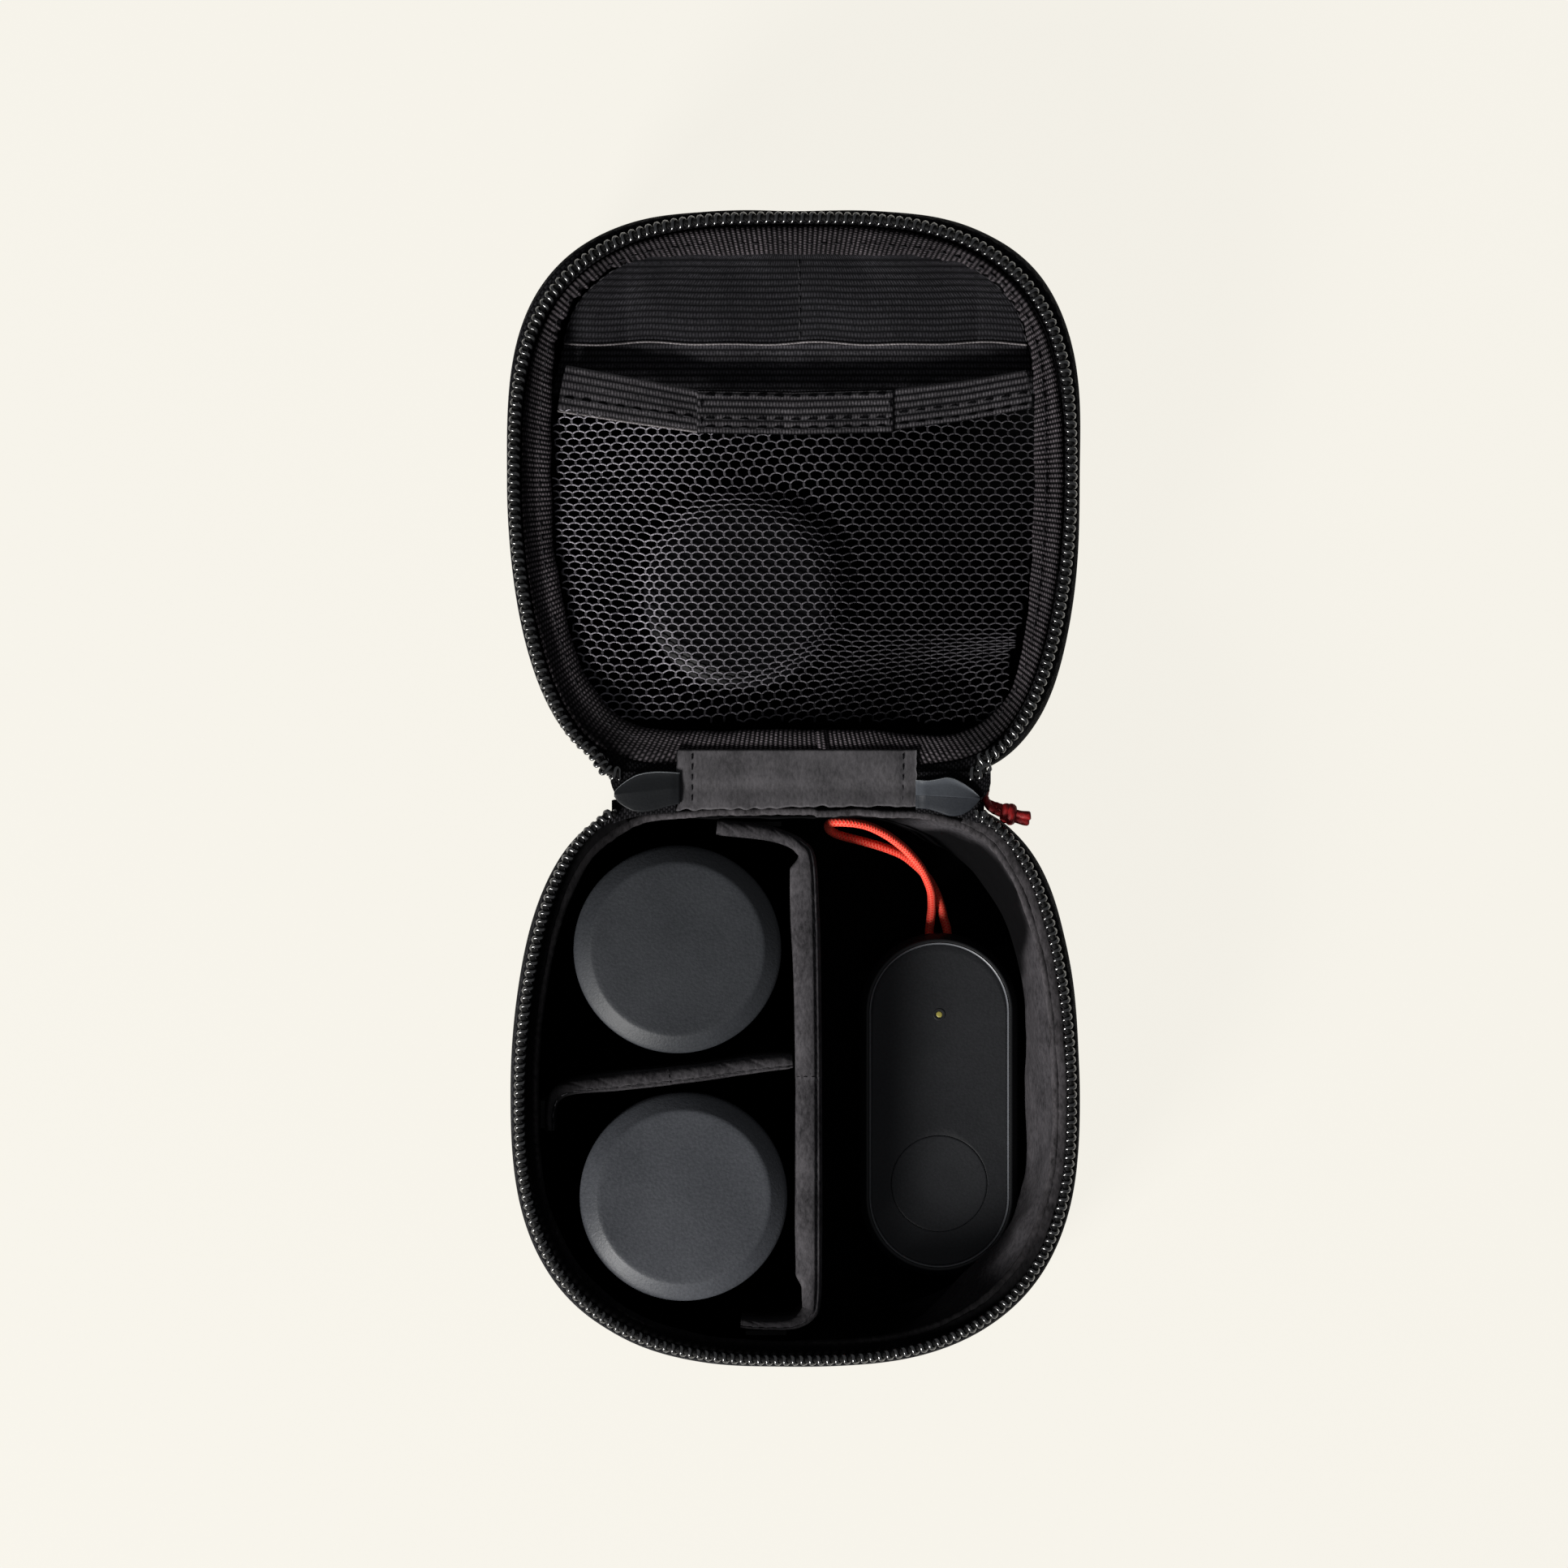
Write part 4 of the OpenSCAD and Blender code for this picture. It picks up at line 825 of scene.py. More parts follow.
def liningPiece(half, finish, slot, seed):
    def folds(u, z):
        wave = (noiseField(u * 30, z * 0.7 + u * 6, 11, seed)
                + 0.6 * noiseField(u * 30, z, 5, seed + 1))
        room = smoothStep(z, 6, 14) * smoothStep(np.abs(u + math.pi / 2), 0.25, 0.6)
        fold = np.clip(wave + 0.4, 0, 2) * 0.5 * lining["fold"] * room
        if half == "lid":
            return fold
        # the loose wall on the right leans into the case, most in the corner by the hinge
        turn = np.mod(u + math.pi, 2 * math.pi) - math.pi
        right = smoothStep(np.cos(u), 0.25, 0.75)
        depth = np.clip(case["top"] - 0.5 - z, 0, 20)
        crease = smoothStep(depth, 5 + 1.2 * np.sin(turn * 9), 8 + 1.2 * np.sin(turn * 9))
        lean = (0.2 * depth + bulge(u, z, half) * 0.9) * right + right * 0.7 * crease * (
            1 + np.sin(turn * 7 + z * 0.12))
        return fold + lean * smoothStep(z, 3.5, 12)

    p, f, t = cup(half, lining["out"], lining["in"], lining["top"], lining["columns"], folds)
    shade = None
    if half == "base":
        # painted light and shade: only the upper part of the loose right wall keeps the lining's
        # colour, and the rest of the base's lining is painted nearly black
        rim = rimPoint(np.linspace(0, 2 * math.pi, 1200), 0.0, 30.0, half)[:, :2]
        away = np.concatenate([np.linalg.norm(q[:, None] - rim[None], axis=2).min(1)
                               for q in np.array_split(p[:, :2], 40)])
        x, y = p[:, 0], p[:, 1]
        wavy = 0.3 * np.sin(y / 5.5) + 0.25 * noiseField(x, y, 9, seed + 7)
        reach = wavy + np.interp(-y, lining["lightAt"], lining["lightReach"])
        right = smoothStep(x, 19, 29) * (1 - smoothStep(-y + 0.4 * x, 110, 122))
        shade = 0.02 + 0.98 * right * (1 - smoothStep(away, reach - 0.8, reach + 0.9))
    cloth = addPiece(half + "LiningCloth", (p, f, t), [finish, cloths["floor"]], half, slot,
                     half + "_lining", shade=shade)
    # painted shade: the floor faces get the near-black floor cloth
    flat = p[f[0]][:, :, 2].max(1) < lining["in"] + 0.6
    index = np.zeros(len(cloth.data.polygons), np.int32)
    index[:len(flat)] = flat
    cloth.data.polygons.foreach_set("material_index", index)


for half in ("base", "lid"):
    shellPiece(half)
liningPiece("base", cloths["lining"], "lining_cloth", 21)
liningPiece("lid", cloths["lidLining"], "lid_lining_cloth", 31)
print("shells and linings made")

# Zip: tape, nylon coil over its core, and the thread that sews the coil down
tape = {"profile": [(-0.35, 34.1), (1.2, 34.1), (1.2, 34.8), (0.35, 34.8), (0.35, 35.95),
                    (-0.35, 35.95)]}
coil = {"pitch": 1.7, "wide": {"lid": 0.84, "base": 0.72}, "turn": 0.6, "wire": 0.4, "samples": 16,
        "sides": 8, "core": 0.66, "open": 10, "lidEnd": [(37.3, 3.75), (35.9, 3.2), (34.3, 3.0)],
        "baseEnd": [(37.2, 5.3), (36.3, 5.0), (35.3, 5.0)]}


def zipPieces(half):
    ends = (case["zipEnd"] - 90, 270 - case["zipEnd"])
    profile = roundedOutline(tape["profile"], 0.25, 2)
    addPiece(half + "ZipTape", rimStrip(half, profile, 520, *ends), cloths["tape"], half,
             "zip_tape_cloth", half + "_zip_tape")
    fine, _ = rimAngles(half, 6000, ends[0], ends[1])
    rim = rimPoint(fine, 0.0, case["coilHeight"], half)
    turned = 1 if half == "lid" else -1
    more = np.array([(q, turned * w, case["coilHeight"]) for q, w in coil[half + "End"]])
    line = np.vstack([(more * [-turned, 1, 1])[::-1] if rim[0, 0] * -turned > 0 else more[::-1],
                      rim, more * [-1, 1, 1] if rim[-1, 0] < 0 else more])
    # every point of the ends, and one in 60 of the rim
    m, n = len(more), len(line)
    line = resample(smoothLine(line[np.r_[:m, m:n - m:60, n - m:n]], 0.1), 0.1)
    run = spread(line)
    length = run[-1]
    flat = directions(line)
    out = stack(flat[:, 1], -flat[:, 0])
    middle = line[len(line) // 4, :2] - [0, case["centre"][half]]
    out = out * np.sign((out[len(line) // 4] * middle).sum())
    turns = int(length / coil["pitch"])
    step = turns * coil["samples"] + 1
    s = np.linspace(0, length, step)
    phase = np.linspace(0, turns * 2 * math.pi, step)
    # near the hinge the lid's loops lie open
    nearEnd = (1 - smoothStep(np.minimum(s, length - s), 5, coil["open"])) * (half == "lid")
    side = coil["wide"][half] * np.sign(np.cos(phase)) * np.abs(np.cos(phase)) ** 0.8
    side = side * (1 + 0.35 * nearEnd)
    up = coil["turn"] * np.sign(np.sin(phase)) * np.abs(np.sin(phase)) ** 0.8 * (1 - 0.3 * nearEnd)
    at = np.clip(s + 0.12 * np.sin(2 * phase), 0, length)
    centre = pick(at, run, line)
    centre[:, :2] += pick(at, run, out) * side[:, None]
    centre[:, 2] += up
    heads = lambda d, a: coil["wire"] * (1 + 0.12 * np.interp(
        d, spread(centre), np.maximum(0, np.cos(phase)) ** 3)) + 0 * a
    wire = tube(centre, heads, coil["sides"])
    addPiece(half + "ZipCoilCore", tube(line[::6] - [0, 0, 0.05], coil["core"], 10),
             cloths["hooks"], half, "zip_coil")
    addPiece(half + "ZipCoil", wire, plastics["coil"], half, "zip_coil", half + "_zip_teeth")
    count = turns * 2
    at = np.interp((np.arange(count) + 0.5) / count, np.linspace(0, 1, len(fine)), fine)
    low = rimPoint(at, 0.75, 36.3, half)
    high = rimPoint(at + 0.008, 0.3, 37.8, half)
    addPiece(half + "CoilStitches",
             stitches(low, high, np.array([0, 0, 1.0]), 0.13, 0.25),
             cloths["darkThread"], half, "zip_tape_cloth")


for half in ("base", "lid"):
    zipPieces(half)
print("zip made")

# Rolled hem of the base's lining
hem = {"profile": [(2.0, 34.25), (2.5, 34.1), (3.0, 34.1), (3.5, 34.25), (3.65, 34.6),
                   (3.5, 35.0), (3.0, 35.25), (2.4, 35.15), (2.0, 34.7)],
       "tape": [(0.7, 34.85), (1.5, 34.7), (2.3, 34.8), (2.5, 35.0), (2.35, 35.3), (1.6, 35.5),
                (0.9, 35.45), (0.65, 35.2)]}


# 1 along the base's right side, where the light falls on the hem
def onRight(q):
    return smoothStep(q[:, 0], 24, 32) * (1 - smoothStep(-q[:, 1], 66, 102))


def hemRoll(u, s, inset, z):
    wave = noiseField(s, s * 0.3, 17, 12) * 0.12 + noiseField(s, s, 4.5, 13) * 0.05
    near = nearHinge(u, 0.68)
    return inset + wave * (1 + near) - 1.1 * near, z + np.where(z > 34.6, wave * 0.8, 0)


p, f, t = rimStrip("base", hem["profile"], 640, move=hemRoll)
# painted light and shade: the hem keeps its colour by the hinge and along the right side, and is
# painted dark elsewhere
lit = smoothStep(p[:, 1], -15, -6) * (1 - smoothStep(np.abs(p[:, 0]), 24, 38))
lit = np.maximum(lit, 0.85 * onRight(p))
addPiece("baseHemRoll", (p, f, t), cloths["hem"], "base", "lining_cloth", "base_hem",
         shade=0.12 + 0.88 * lit)
p, f, t = rimStrip("base", roundedOutline(hem["tape"], 0.2, 2), 640, case["zipEnd"] - 92,
                      272 - case["zipEnd"], move=hemRoll)
# painted light and shade: the tape edge is painted lit along the right side and nearly black
# elsewhere
addPiece("baseTapeEdge", (p, f, t), cloths["hem"], "base", "zip_tape_cloth",
         shade=0.03 + 0.66 * onRight(p))

# Webbing round the mouth of the lid, its ribs lie across it
webbing = {"rib": 1.0, "rise": 0.15, "rowsPerRib": 5, "inner": 1.4, "width": 5.6,
           "stitchInset": 4.9, "sewing": (1.5, 1.15, 0.16, 0.12),
           "top": [(1.4, 34.9), (1.75, 35.2), (2.2, 35.42), (2.8, 35.5), (3.6, 35.38),
                   (4.4, 35.2), (5.2, 35.0), (5.9, 34.8), (6.5, 34.55), (6.85, 34.25)],
           "under": [(7.0, 33.9), (6.95, 33.5), (6.4, 33.3), (4.9, 33.65), (3.4, 34.05),
                     (1.6, 34.1), (1.4, 34.4)]}


# 0 at the webbing's inner edge, 1 at its outer one
def webShare(inset):
    return np.clip((inset - webbing["inner"]) / webbing["width"], 0, 1)


# Inset of the webbing where it is folded in by the hinge and widens at corners
def webShift(u, inset):
    share = webShare(inset)
    near = nearHinge(u)
    corner = farCorner(u)
    return (inset + near * np.interp(share, [0, 0.25, 1], [0, 2.1, 1.8])
            - (corner * 3.6 + nearRight(u) * (1 - near) * 3.4) * share ** 1.2)


def webbingShape(u, s, inset, z):
    top = z > 34.15
    near = nearHinge(u)
    share = webShare(inset)
    soft = noiseField(s, inset, 15, 41) * 0.1 + noiseField(s, inset * 2, 6, 42) * 0.05
    aside = np.cos(u) ** 2 * (1 - near)
    sewn = -(0.2 + 0.8 * aside) * np.exp(-((inset - 3.9) / 0.5) ** 2)
    rib = webbing["rise"] * np.abs(np.sin(s / webbing["rib"] * math.pi)) ** 0.7
    corner = farCorner(u)
    # ruffled where the webbing turns the far corners, rolled over beside the hinge
    ruffle = corner * share * 0.28 * np.sin(s * 1.9 + 2 * np.sin(s * 0.6))
    z = z + np.where(top, rib + soft + sewn + ruffle
                     + near * (0.35 * np.sin(share * math.pi) + share ** 2), 0)
    return webShift(u, inset) + np.where(share > 0.7, soft * 1.6 + rib * 0.5 + ruffle, 0), z


_, length = rimAngles("lid", 10, inset=2.0)
count = int(length / webbing["rib"]) * webbing["rowsPerRib"]
p, f, t = rimStrip("lid", webbing["top"] + webbing["under"], count, move=webbingShape)
# painted shade: darker at the far end and in the folded corners by the hinge
webbingShade = 0.22 * smoothStep(p[:, 1], 97, 105) + 0.72 * smoothStep(np.abs(p[:, 0]), 26, 35) * (
    1 - smoothStep(p[:, 1], 11, 25))
addPiece("lidWebbing", (p, f, t), cloths["webbing"], "lid", "webbing", "lid_binding",
         shade=1 - webbingShade)
u, _ = rimAngles("lid", 1600, inset=webbing["stitchInset"])
near = nearHinge(u)
line = rimPoint(u, webShift(u, webbing["stitchInset"]), 35.05 + near * 0.4, "lid")
addPiece("webbingStitches", stitchRow(line, webbing["sewing"]), cloths["darkThread"], "lid",
         "webbing")
# where the webbing's two ends lap over each other, one edge stands up a little
lapLine = np.radians(case["start"] + 0.4)
lapInset = np.linspace(1.5, 6.9, 16)
lapShare = webShare(lapInset)
lapGrid = []
for k in range(9):
    rise = 0.35 * math.sin(min(k, 4) / 4 * math.pi / 2) * (k < 8)
    z = (np.interp(lapInset, *np.array(webbing["top"]).T) + 0.25 + rise
         + 0.35 * np.sin(lapShare * math.pi) + lapShare ** 2)
    lapGrid.append(rimPoint(lapLine + k * 0.006, webShift(lapLine, lapInset), z, "lid"))
addPiece("webbingLap", slab(np.array(lapGrid), 0.4, swap=True), cloths["webbing"], "lid",
         "webbing", shade=1.0)
print("hem and webbing made")


# Half of the width of the lid's rim at a distance from the hinge, as the solids have it
def halfWidth(d, inset):
    wide, near = case["widest"], case["hinge"]
    far = d >= wide
    v = np.where(far, (d - wide) / (case["far"] - inset - wide), (wide - d) / (wide - near - inset))
    n = np.where(far, case["power"]["lid"], case["nearPower"])
    v = np.clip(v, 0, 1)
    return (case["halfWidth"] - inset) * (1 - v ** n) ** (1 / n) * np.where(
        far, 1, 1 - case["taper"] * v ** 2)


# Card band and the panel behind it: elastic that slopes down into the lid
card = {"far": 105.8, "high": 32.9, "slope": math.radians(9), "near": 88.3, "backNear": 77.9,
        "drop": 1.3, "inset": 6.6, "seams": [-33.6, 0.8, 36.0], "puff": 0.75, "thick": 0.7,
        "columns": 150, "rows": 44, "sewing": (1.5, 0.7, 0.15, 0.08)}


# Top of the band, or with puff 0 of the panel behind it
def cardGrid(near, lower, puff, seed):
    t = np.linspace(0, 1, card["rows"])[:, None]
    k = np.linspace(-1, 1, card["columns"])[None]
    wave = 0.22 * np.sin(k * 9 + 0.8) + 0.16 * np.sin(k * 17)
    y = card["far"] + (near + wave * (puff > 0.5) - card["far"]) * t
    x = k * halfWidth(y, card["inset"] - 1.2 - 1.8 * smoothStep(y, 84, 98))
    z = card["high"] - (card["far"] - y) * math.tan(card["slope"]) - lower
    if puff:
        edges = np.array([-52] + card["seams"] + [52], float)
        which = np.clip(np.searchsorted(edges, x) - 1, 0, len(edges) - 2)
        share = (x - edges[which]) / (edges[which + 1] - edges[which])
        lift = np.abs(np.sin(share * math.pi)) ** 0.6
        z = z + puff * lift * np.sin(np.clip(t * 1.25, 0, 1) * math.pi / 2) ** 2 - puff * 0.5 * t
    z = z + 0.1 * noiseField(x, y, 12, seed) * np.minimum(1, 6 * t)
    return stack(x, y + 0 * x, z)


bandGrid = cardGrid(card["near"], 0.15, card["puff"], 51)
addPiece("cardBand", slab(bandGrid, card["thick"], None, True), cloths["panel"], "lid", "elastic",
         "card_band")
# painted light: the back panel gets the lighter copy of the panel cloth
backGrid = cardGrid(card["backNear"], card["drop"] + 0.1, 0, 52)
addPiece("cardBackPanel", slab(backGrid, card["thick"], None, True), cloths["panelBack"], "lid",
         "elastic", "card_back_panel")
# rolled lower edge of the band, lighter as a painted highlight along the fold, and the stitch lines
# that part it into slots
edgeRoll = bandGrid[-1] + [0, -0.15, 0.1]
p, f, t = tube(resample(edgeRoll, 0.4), lambda s, a: 0.27 + 0.04 * np.sin(s * 9) + 0 * a, 10)
addPiece("cardBandEdge", (p, f, t), cloths["edge"], "lid", "elastic")
rows = []
for seam in card["seams"]:
    column = np.abs(bandGrid[5, :, 0] - seam).argmin()
    line = resample(bandGrid[2:, column] + [0, 0, 0.08], 0.3)
    rows.append(stitchRow(line, card["sewing"]))
addPiece("cardBandStitches", joinParts(rows), cloths["thread"], "lid", "elastic")
print("card band made")

# Net pocket: flattened honeycomb of knitted thread, sagging over the lens in it
net = {"pitch": 2.56, "row": 1.42, "inset": 6.6, "near": 13.3, "sag": 4.4, "edge": 32.75,
       "thread": 0.166, "sides": 5, "lens": (-10.9, 38.7), "lensRadius": 19.2,
       "lensTop": 31.95, "bevel": 3.3, "slope": 0.42, "beside": 1.39, "soft": 0.25}
pocketHem = {"x": [-52, -46.4, -33, -19.5, 0, 19.5, 33, 47, 52],
             "low": [75.6, 74.7, 72.6, 70.7, 70.4, 70.9, 72.6, 75.2, 75.8],
             "high": [84.6, 83.9, 81.4, 78.8, 78.5, 79.0, 80.6, 83.0, 83.6],
             "z": 32.9, "thick": 0.75, "row": 1.35, "sewing": (1.9, 1.25, 0.2, 0.14),
             "endSewing": (1.4, 0.8, 0.18, 0.12)}


# y of the hem's lower edge
def hemLow(x):
    return np.interp(x, pocketHem["x"], pocketHem["low"])


# half width of the net; on the right it reaches into the corner by the hinge
def netSide(x, y):
    return halfWidth(y, net["inset"]) + 3.2 * (x > 0) * (1 - smoothStep(y, 15, 27))


# z of the net: it sags between its edges and lies over the lens
def netHeight(x, y):
    side = netSide(x, y) - np.abs(x)
    gap = np.minimum(np.minimum(side, (y - net["near"]) * 1.1), (hemLow(x) - y) * 0.9)
    held = 1 - 0.7 * (1 - smoothStep(x, -44, -22))
    sag = net["edge"] - net["sag"] * held * smoothStep(gap, -1, 15) ** 0.8
    d = np.hypot(x - net["lens"][0], y - net["lens"][1])
    r, top = net["lensRadius"], net["lensTop"]
    dome = np.where(d < r - net["bevel"], top, top - net["slope"] * (d - r + net["bevel"]))
    dome = np.where(d > r, top - net["beside"] - (d - r) * 0.5, dome)
    soft = net["soft"]
    return np.maximum(sag, dome) + soft * np.exp(-np.abs(sag - dome) / soft) * 0.5


# the knitted rows are drawn askew by the hem, the lens and the sewn corners
def netWarp(x, y):
    upper = smoothStep(y, 54, 74) * np.exp(-((x + 4) / 26) ** 2)
    lower = (1 - smoothStep(y, 14, 34)) * smoothStep(x, -34, 10)
    left = 1 - smoothStep(x, -47, -27)
    d = np.hypot(x - net["lens"][0], y - net["lens"][1])
    ringPull = 1.1 * np.exp(-((d - 21) / 3.2) ** 2)
    dx = -upper * 3.2 + left * 1.4 * np.sin((y - 20) / 16) + ringPull * (net["lens"][0] - x) / 21
    dy = lower * 0.14 * (x + 20) + left * 1.5 * np.sin((y - 12) / 13)
    dy = dy + upper * 0.12 * (x + 8) + ringPull * (net["lens"][1] - y) / 21
    return x + dx, y + dy


# Threads of the net as lines of five points, and the painted light and shade of each point
def netStrands():
    px, py = net["pitch"], net["row"]
    cols, rows = int(54 / px) + 4, int(66 / py) + 8
    starts, ends, bows = [], [], []
    for r in range(-6, rows):
        cx = (np.arange(-cols, cols + 1) + (r % 2) / 2) * px
        cy = np.full(len(cx), net["near"] + r * py)
        # two slanting threads from the top of each mesh, and two upright ones side by side
        for x0, y0, x1, y1, bow in (
                (0, 0.665, -px / 2, 0.335, 0.0), (0, 0.665, px / 2, 0.335, 0.0),
                (px / 2, 0.35, px / 2, -0.35, -0.11), (px / 2, 0.35, px / 2, -0.35, 0.11)):
            starts.append(stack(cx + x0, cy + py * y0))
            ends.append(stack(cx + x1, cy + py * y1))
            bows.append(np.full(len(cx), bow))
    a, b, bow = np.vstack(starts), np.vstack(ends), np.concatenate(bows)
    share = np.array([0, 0.25, 0.5, 0.75, 1.0])
    flat = a[:, None] + (b - a)[:, None] * share[None, :, None]
    flat[..., 0] += bow[:, None] * np.sin(share * math.pi)[None]
    flat[..., 1] += np.where(bow == 0, 0.14, 0)[:, None] * np.sin(share * math.pi)[None]
    x, y = netWarp(flat[..., 0], flat[..., 1])
    mid = (x[:, 2], y[:, 2])
    inside = ((np.abs(mid[0]) < netSide(*mid) - 0.2)
              & (mid[1] < hemLow(mid[0]) + 0.5) & (mid[1] > net["near"] + 0.2))
    x, y = x[inside], y[inside]
    z = netHeight(x, y) + 0.1 * np.sin(share * math.pi)[None] * (bow[inside, None] == 0)
    # painted light and shade: the arcs of the rows are painted lit, most on the left, and the
    # upright threads darker, a little lighter over the lens
    tone = np.interp(x, [-48, -30, -12, 6, 14, 46], [1.0, 1.0, 0.43, 0.35, 0.2, 0.16])
    d = np.hypot(x - net["lens"][0], y - net["lens"][1])
    legLight = 0.35 + 0.35 * (1 - smoothStep(d, 17, 21))
    tone = tone * np.where(bow[inside, None] == 0, 1, legLight)
    return stack(x, y, z), tone


strands, strandLight = netStrands()
t = np.gradient(strands, axis=1)
t /= np.linalg.norm(t, axis=2)[..., None]
across = np.cross(t, [0, 0, 1.0])
across /= np.linalg.norm(across, axis=2)[..., None]
up = np.cross(across, t)
angle = np.arange(net["sides"]) * 2 * math.pi / net["sides"]
rings = (strands[:, :, None] + net["thread"] * (
    across[:, :, None] * np.cos(angle)[:, None] + up[:, :, None] * np.sin(angle)[:, None]))
pocketNet = addPiece("pocketNet", manyTubes(rings), cloths["net"], "lid", "net_cloth",
                     "pocket_net", shade=np.repeat(strandLight[:, :, None], net["sides"], 2))
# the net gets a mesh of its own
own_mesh(pocketNet)
print("net made,", len(strands), "strands")


# Elastic hem of the net, and the patch where its ends are joined
def hemGrid(x0, x1, low, high, z, seed, columns=220):
    k = np.linspace(0, 1, columns)[None]
    j = np.linspace(0, 1, 26)[:, None]
    x = x0 + (x1 - x0) * k
    yLow = hemLow(x) + low
    yHigh = np.interp(x, pocketHem["x"], pocketHem["high"]) + high
    y = yLow + (yHigh - yLow) * j
    rib = 0.09 * np.abs(np.sin((y - yLow) / pocketHem["row"] * math.pi)) ** 0.7
    room = halfWidth(y, 6.9)
    x = np.clip(x, -room, room)
    return stack(x, y, z + rib + 0.12 * noiseField(x, y, 16, seed) + 0 * x)


hemTop = hemGrid(-48.0, 48.0, 0, 0, pocketHem["z"], 61)
pocketHemPiece = addPiece("pocketHemElastic", slab(hemTop, pocketHem["thick"], swap=True),
                          cloths["elastic"], "lid", "elastic", "pocket_hem")
patchTop = hemGrid(-19.3, 19.2, -0.5, -0.3, pocketHem["z"] + 0.42, 62, 90)
hemPatch = addPiece("pocketHemPatch", slab(patchTop, 0.45, swap=True), cloths["elastic"], "lid",
                    "elastic", "pocket_hem_patch")
# the net's hem gets the same rolled edge with its painted highlight
hemLine = resample(hemTop[0, :104] + [0, -0.05, -0.25], 0.4)
hemEdge = addPiece("pocketHemEdge", tube(hemLine, 0.34, 8), cloths["edge"], "lid", "elastic")


# rows of stitches: from x, to x, distance above the hem's lower edge, and height
seamTop = pocketHem["z"] + 0.12
patchSeam = seamTop + 0.44
rows = []
for x0, x1, above, z in (
        (-46.5, -19.6, 2.6, seamTop), (19.6, 46.5, 3.2, seamTop), (19.6, 46.5, 0.9, seamTop),
        (-18.6, 18.5, 7.0, patchSeam), (-18.6, 18.5, 2.4, patchSeam),
        (-18.6, 18.5, 0.7, patchSeam)):
    x = np.linspace(x0, x1, 300)
    rows.append(stitchRow(stack(x, hemLow(x) + above, z), pocketHem["sewing"]))
for x in (-18.7, 18.6):
    line = stack(x, np.linspace(71, 77.6, 60), patchSeam)
    rows.append(stitchRow(line, pocketHem["endSewing"]))
hemThread = addPiece("pocketHemStitches", joinParts(rows), cloths["darkThread"], "lid", "elastic")
netArea = 0.0
for y in np.arange(net["near"], 76, 0.5):
    x = np.linspace(-1, 1, 60) * float(halfWidth(np.array(y), net["inset"]))
    netArea += 0.5 * float((hemLow(x) > y).mean() * (x[-1] - x[0]))
print("pocket hem made, net covers", round(netArea), "square mm")

# Hinge: cloth gusset, outer cloth channel and two moulded tabs
hinge = {"left": -23.4, "right": 23.9, "near": -3.6, "far": 7.6, "z": 36.6, "dip": 0.25,
         "thick": 0.6, "stitchX": [-20.4, 21.2], "sewing": (1.3, 0.7, 0.13, 0.06)}
bend = ("base", "lid", (0, -3 * mm, 36 * mm), (0, 3 * mm, 36 * mm))
x = np.linspace(hinge["left"], hinge["right"], 120)[:, None]
y = np.linspace(0, 1, 40)[None]
ragged = 0.22 * noiseField(x, x * 0.4, 3.5, 71)
nearLine = hinge["near"] + 0.35 * np.sin(x / 11 + 0.6) + ragged
y = nearLine + (hinge["far"] - nearLine) * y
z = (hinge["z"] - hinge["dip"] * np.exp(-(y / 1.6) ** 2) + 0.11 * noiseField(x, y * 0.6, 9, 72)
     - 0.16 * sum(np.exp(-((x - s) / 0.5) ** 2) for s in hinge["stitchX"]))
gussetGrid = stack(x + 0.12 * noiseField(y, y, 2.5, 73), y, z)
addPiece("hingeGusset", slab(gussetGrid, hinge["thick"]), cloths["hinge"], bend, "hinge_cloth",
         "hinge_gusset")
rows = []
for s in hinge["stitchX"]:
    y = np.linspace(hinge["near"] + 0.8, hinge["far"] - 0.3, 60)
    z = hinge["z"] - hinge["dip"] * np.exp(-(y / 1.6) ** 2) - 0.08
    rows.append(stitchRow(stack(s, y, z), hinge["sewing"]))
addPiece("gussetStitches", joinParts(rows), cloths["darkThread"], bend, "hinge_cloth")

channel = {"half": 24.6, "y": 2.5, "top": 33.0, "low": 26.0, "thick": 0.7}
bendLine = roundedOutline([(-channel["y"], channel["low"]), (-channel["y"], channel["top"]),
                           (channel["y"], channel["top"]), (channel["y"], channel["low"])],
                          1.2, 6, closed=False)
bendLine = resample(stack(*bendLine.T, 0), 0.45)[:, :2]
x = np.linspace(-channel["half"], channel["half"], 90)
grid = stack(x[:, None], bendLine[:, 0], bendLine[:, 1])
inward = np.gradient(bendLine, axis=0)
inward = stack(0, inward[:, 1], -inward[:, 0])
inward /= np.linalg.norm(inward, axis=1)[:, None]
addPiece("hingeOuterCloth", slab(grid, channel["thick"], inward),
         cloths["shell"], ("base", "lid", (0, -1.9 * mm, 33 * mm), (0, 1.9 * mm, 33 * mm)),
         "shell_cloth", "hinge_outer_panel")

tab = {"low": 36.75,
       1: {"start": 23.7, "length": 12.7, "crown": 0.8, "mid": [(0, -1.2), (1, -1.9)],
           "upper": [(0, 1.8), (.2, 1.7), (.35, 2.0), (.48, 2.4), (.6, 2.1), (.75, 1.1), (.88, -.1),
                     (.96, -1.1), (1, -1.7)],
           "lower": [(0, -3.8), (.2, -4.0), (.35, -4.6), (.5, -5.3), (.6, -5.4), (.72, -5.1),
                     (.85, -4.2), (.94, -3.1), (1, -2.1)]},
       -1: {"start": 22.7, "length": 13.0, "crown": 0.4, "mid": [(0, 0.2), (1, -1.1)],
            "upper": [(0, 3.2), (.15, 3.4), (.35, 3.5), (.52, 3.3), (.67, 2.8), (.8, 1.8),
                      (.9, .8), (.97, -.1), (1, -.7)],
            "lower": [(0, -2.9), (.2, -3.5), (.45, -4.4), (.6, -4.6), (.72, -4.4), (.85, -3.5),
                      (.95, -2.5), (1, -1.5)]}}


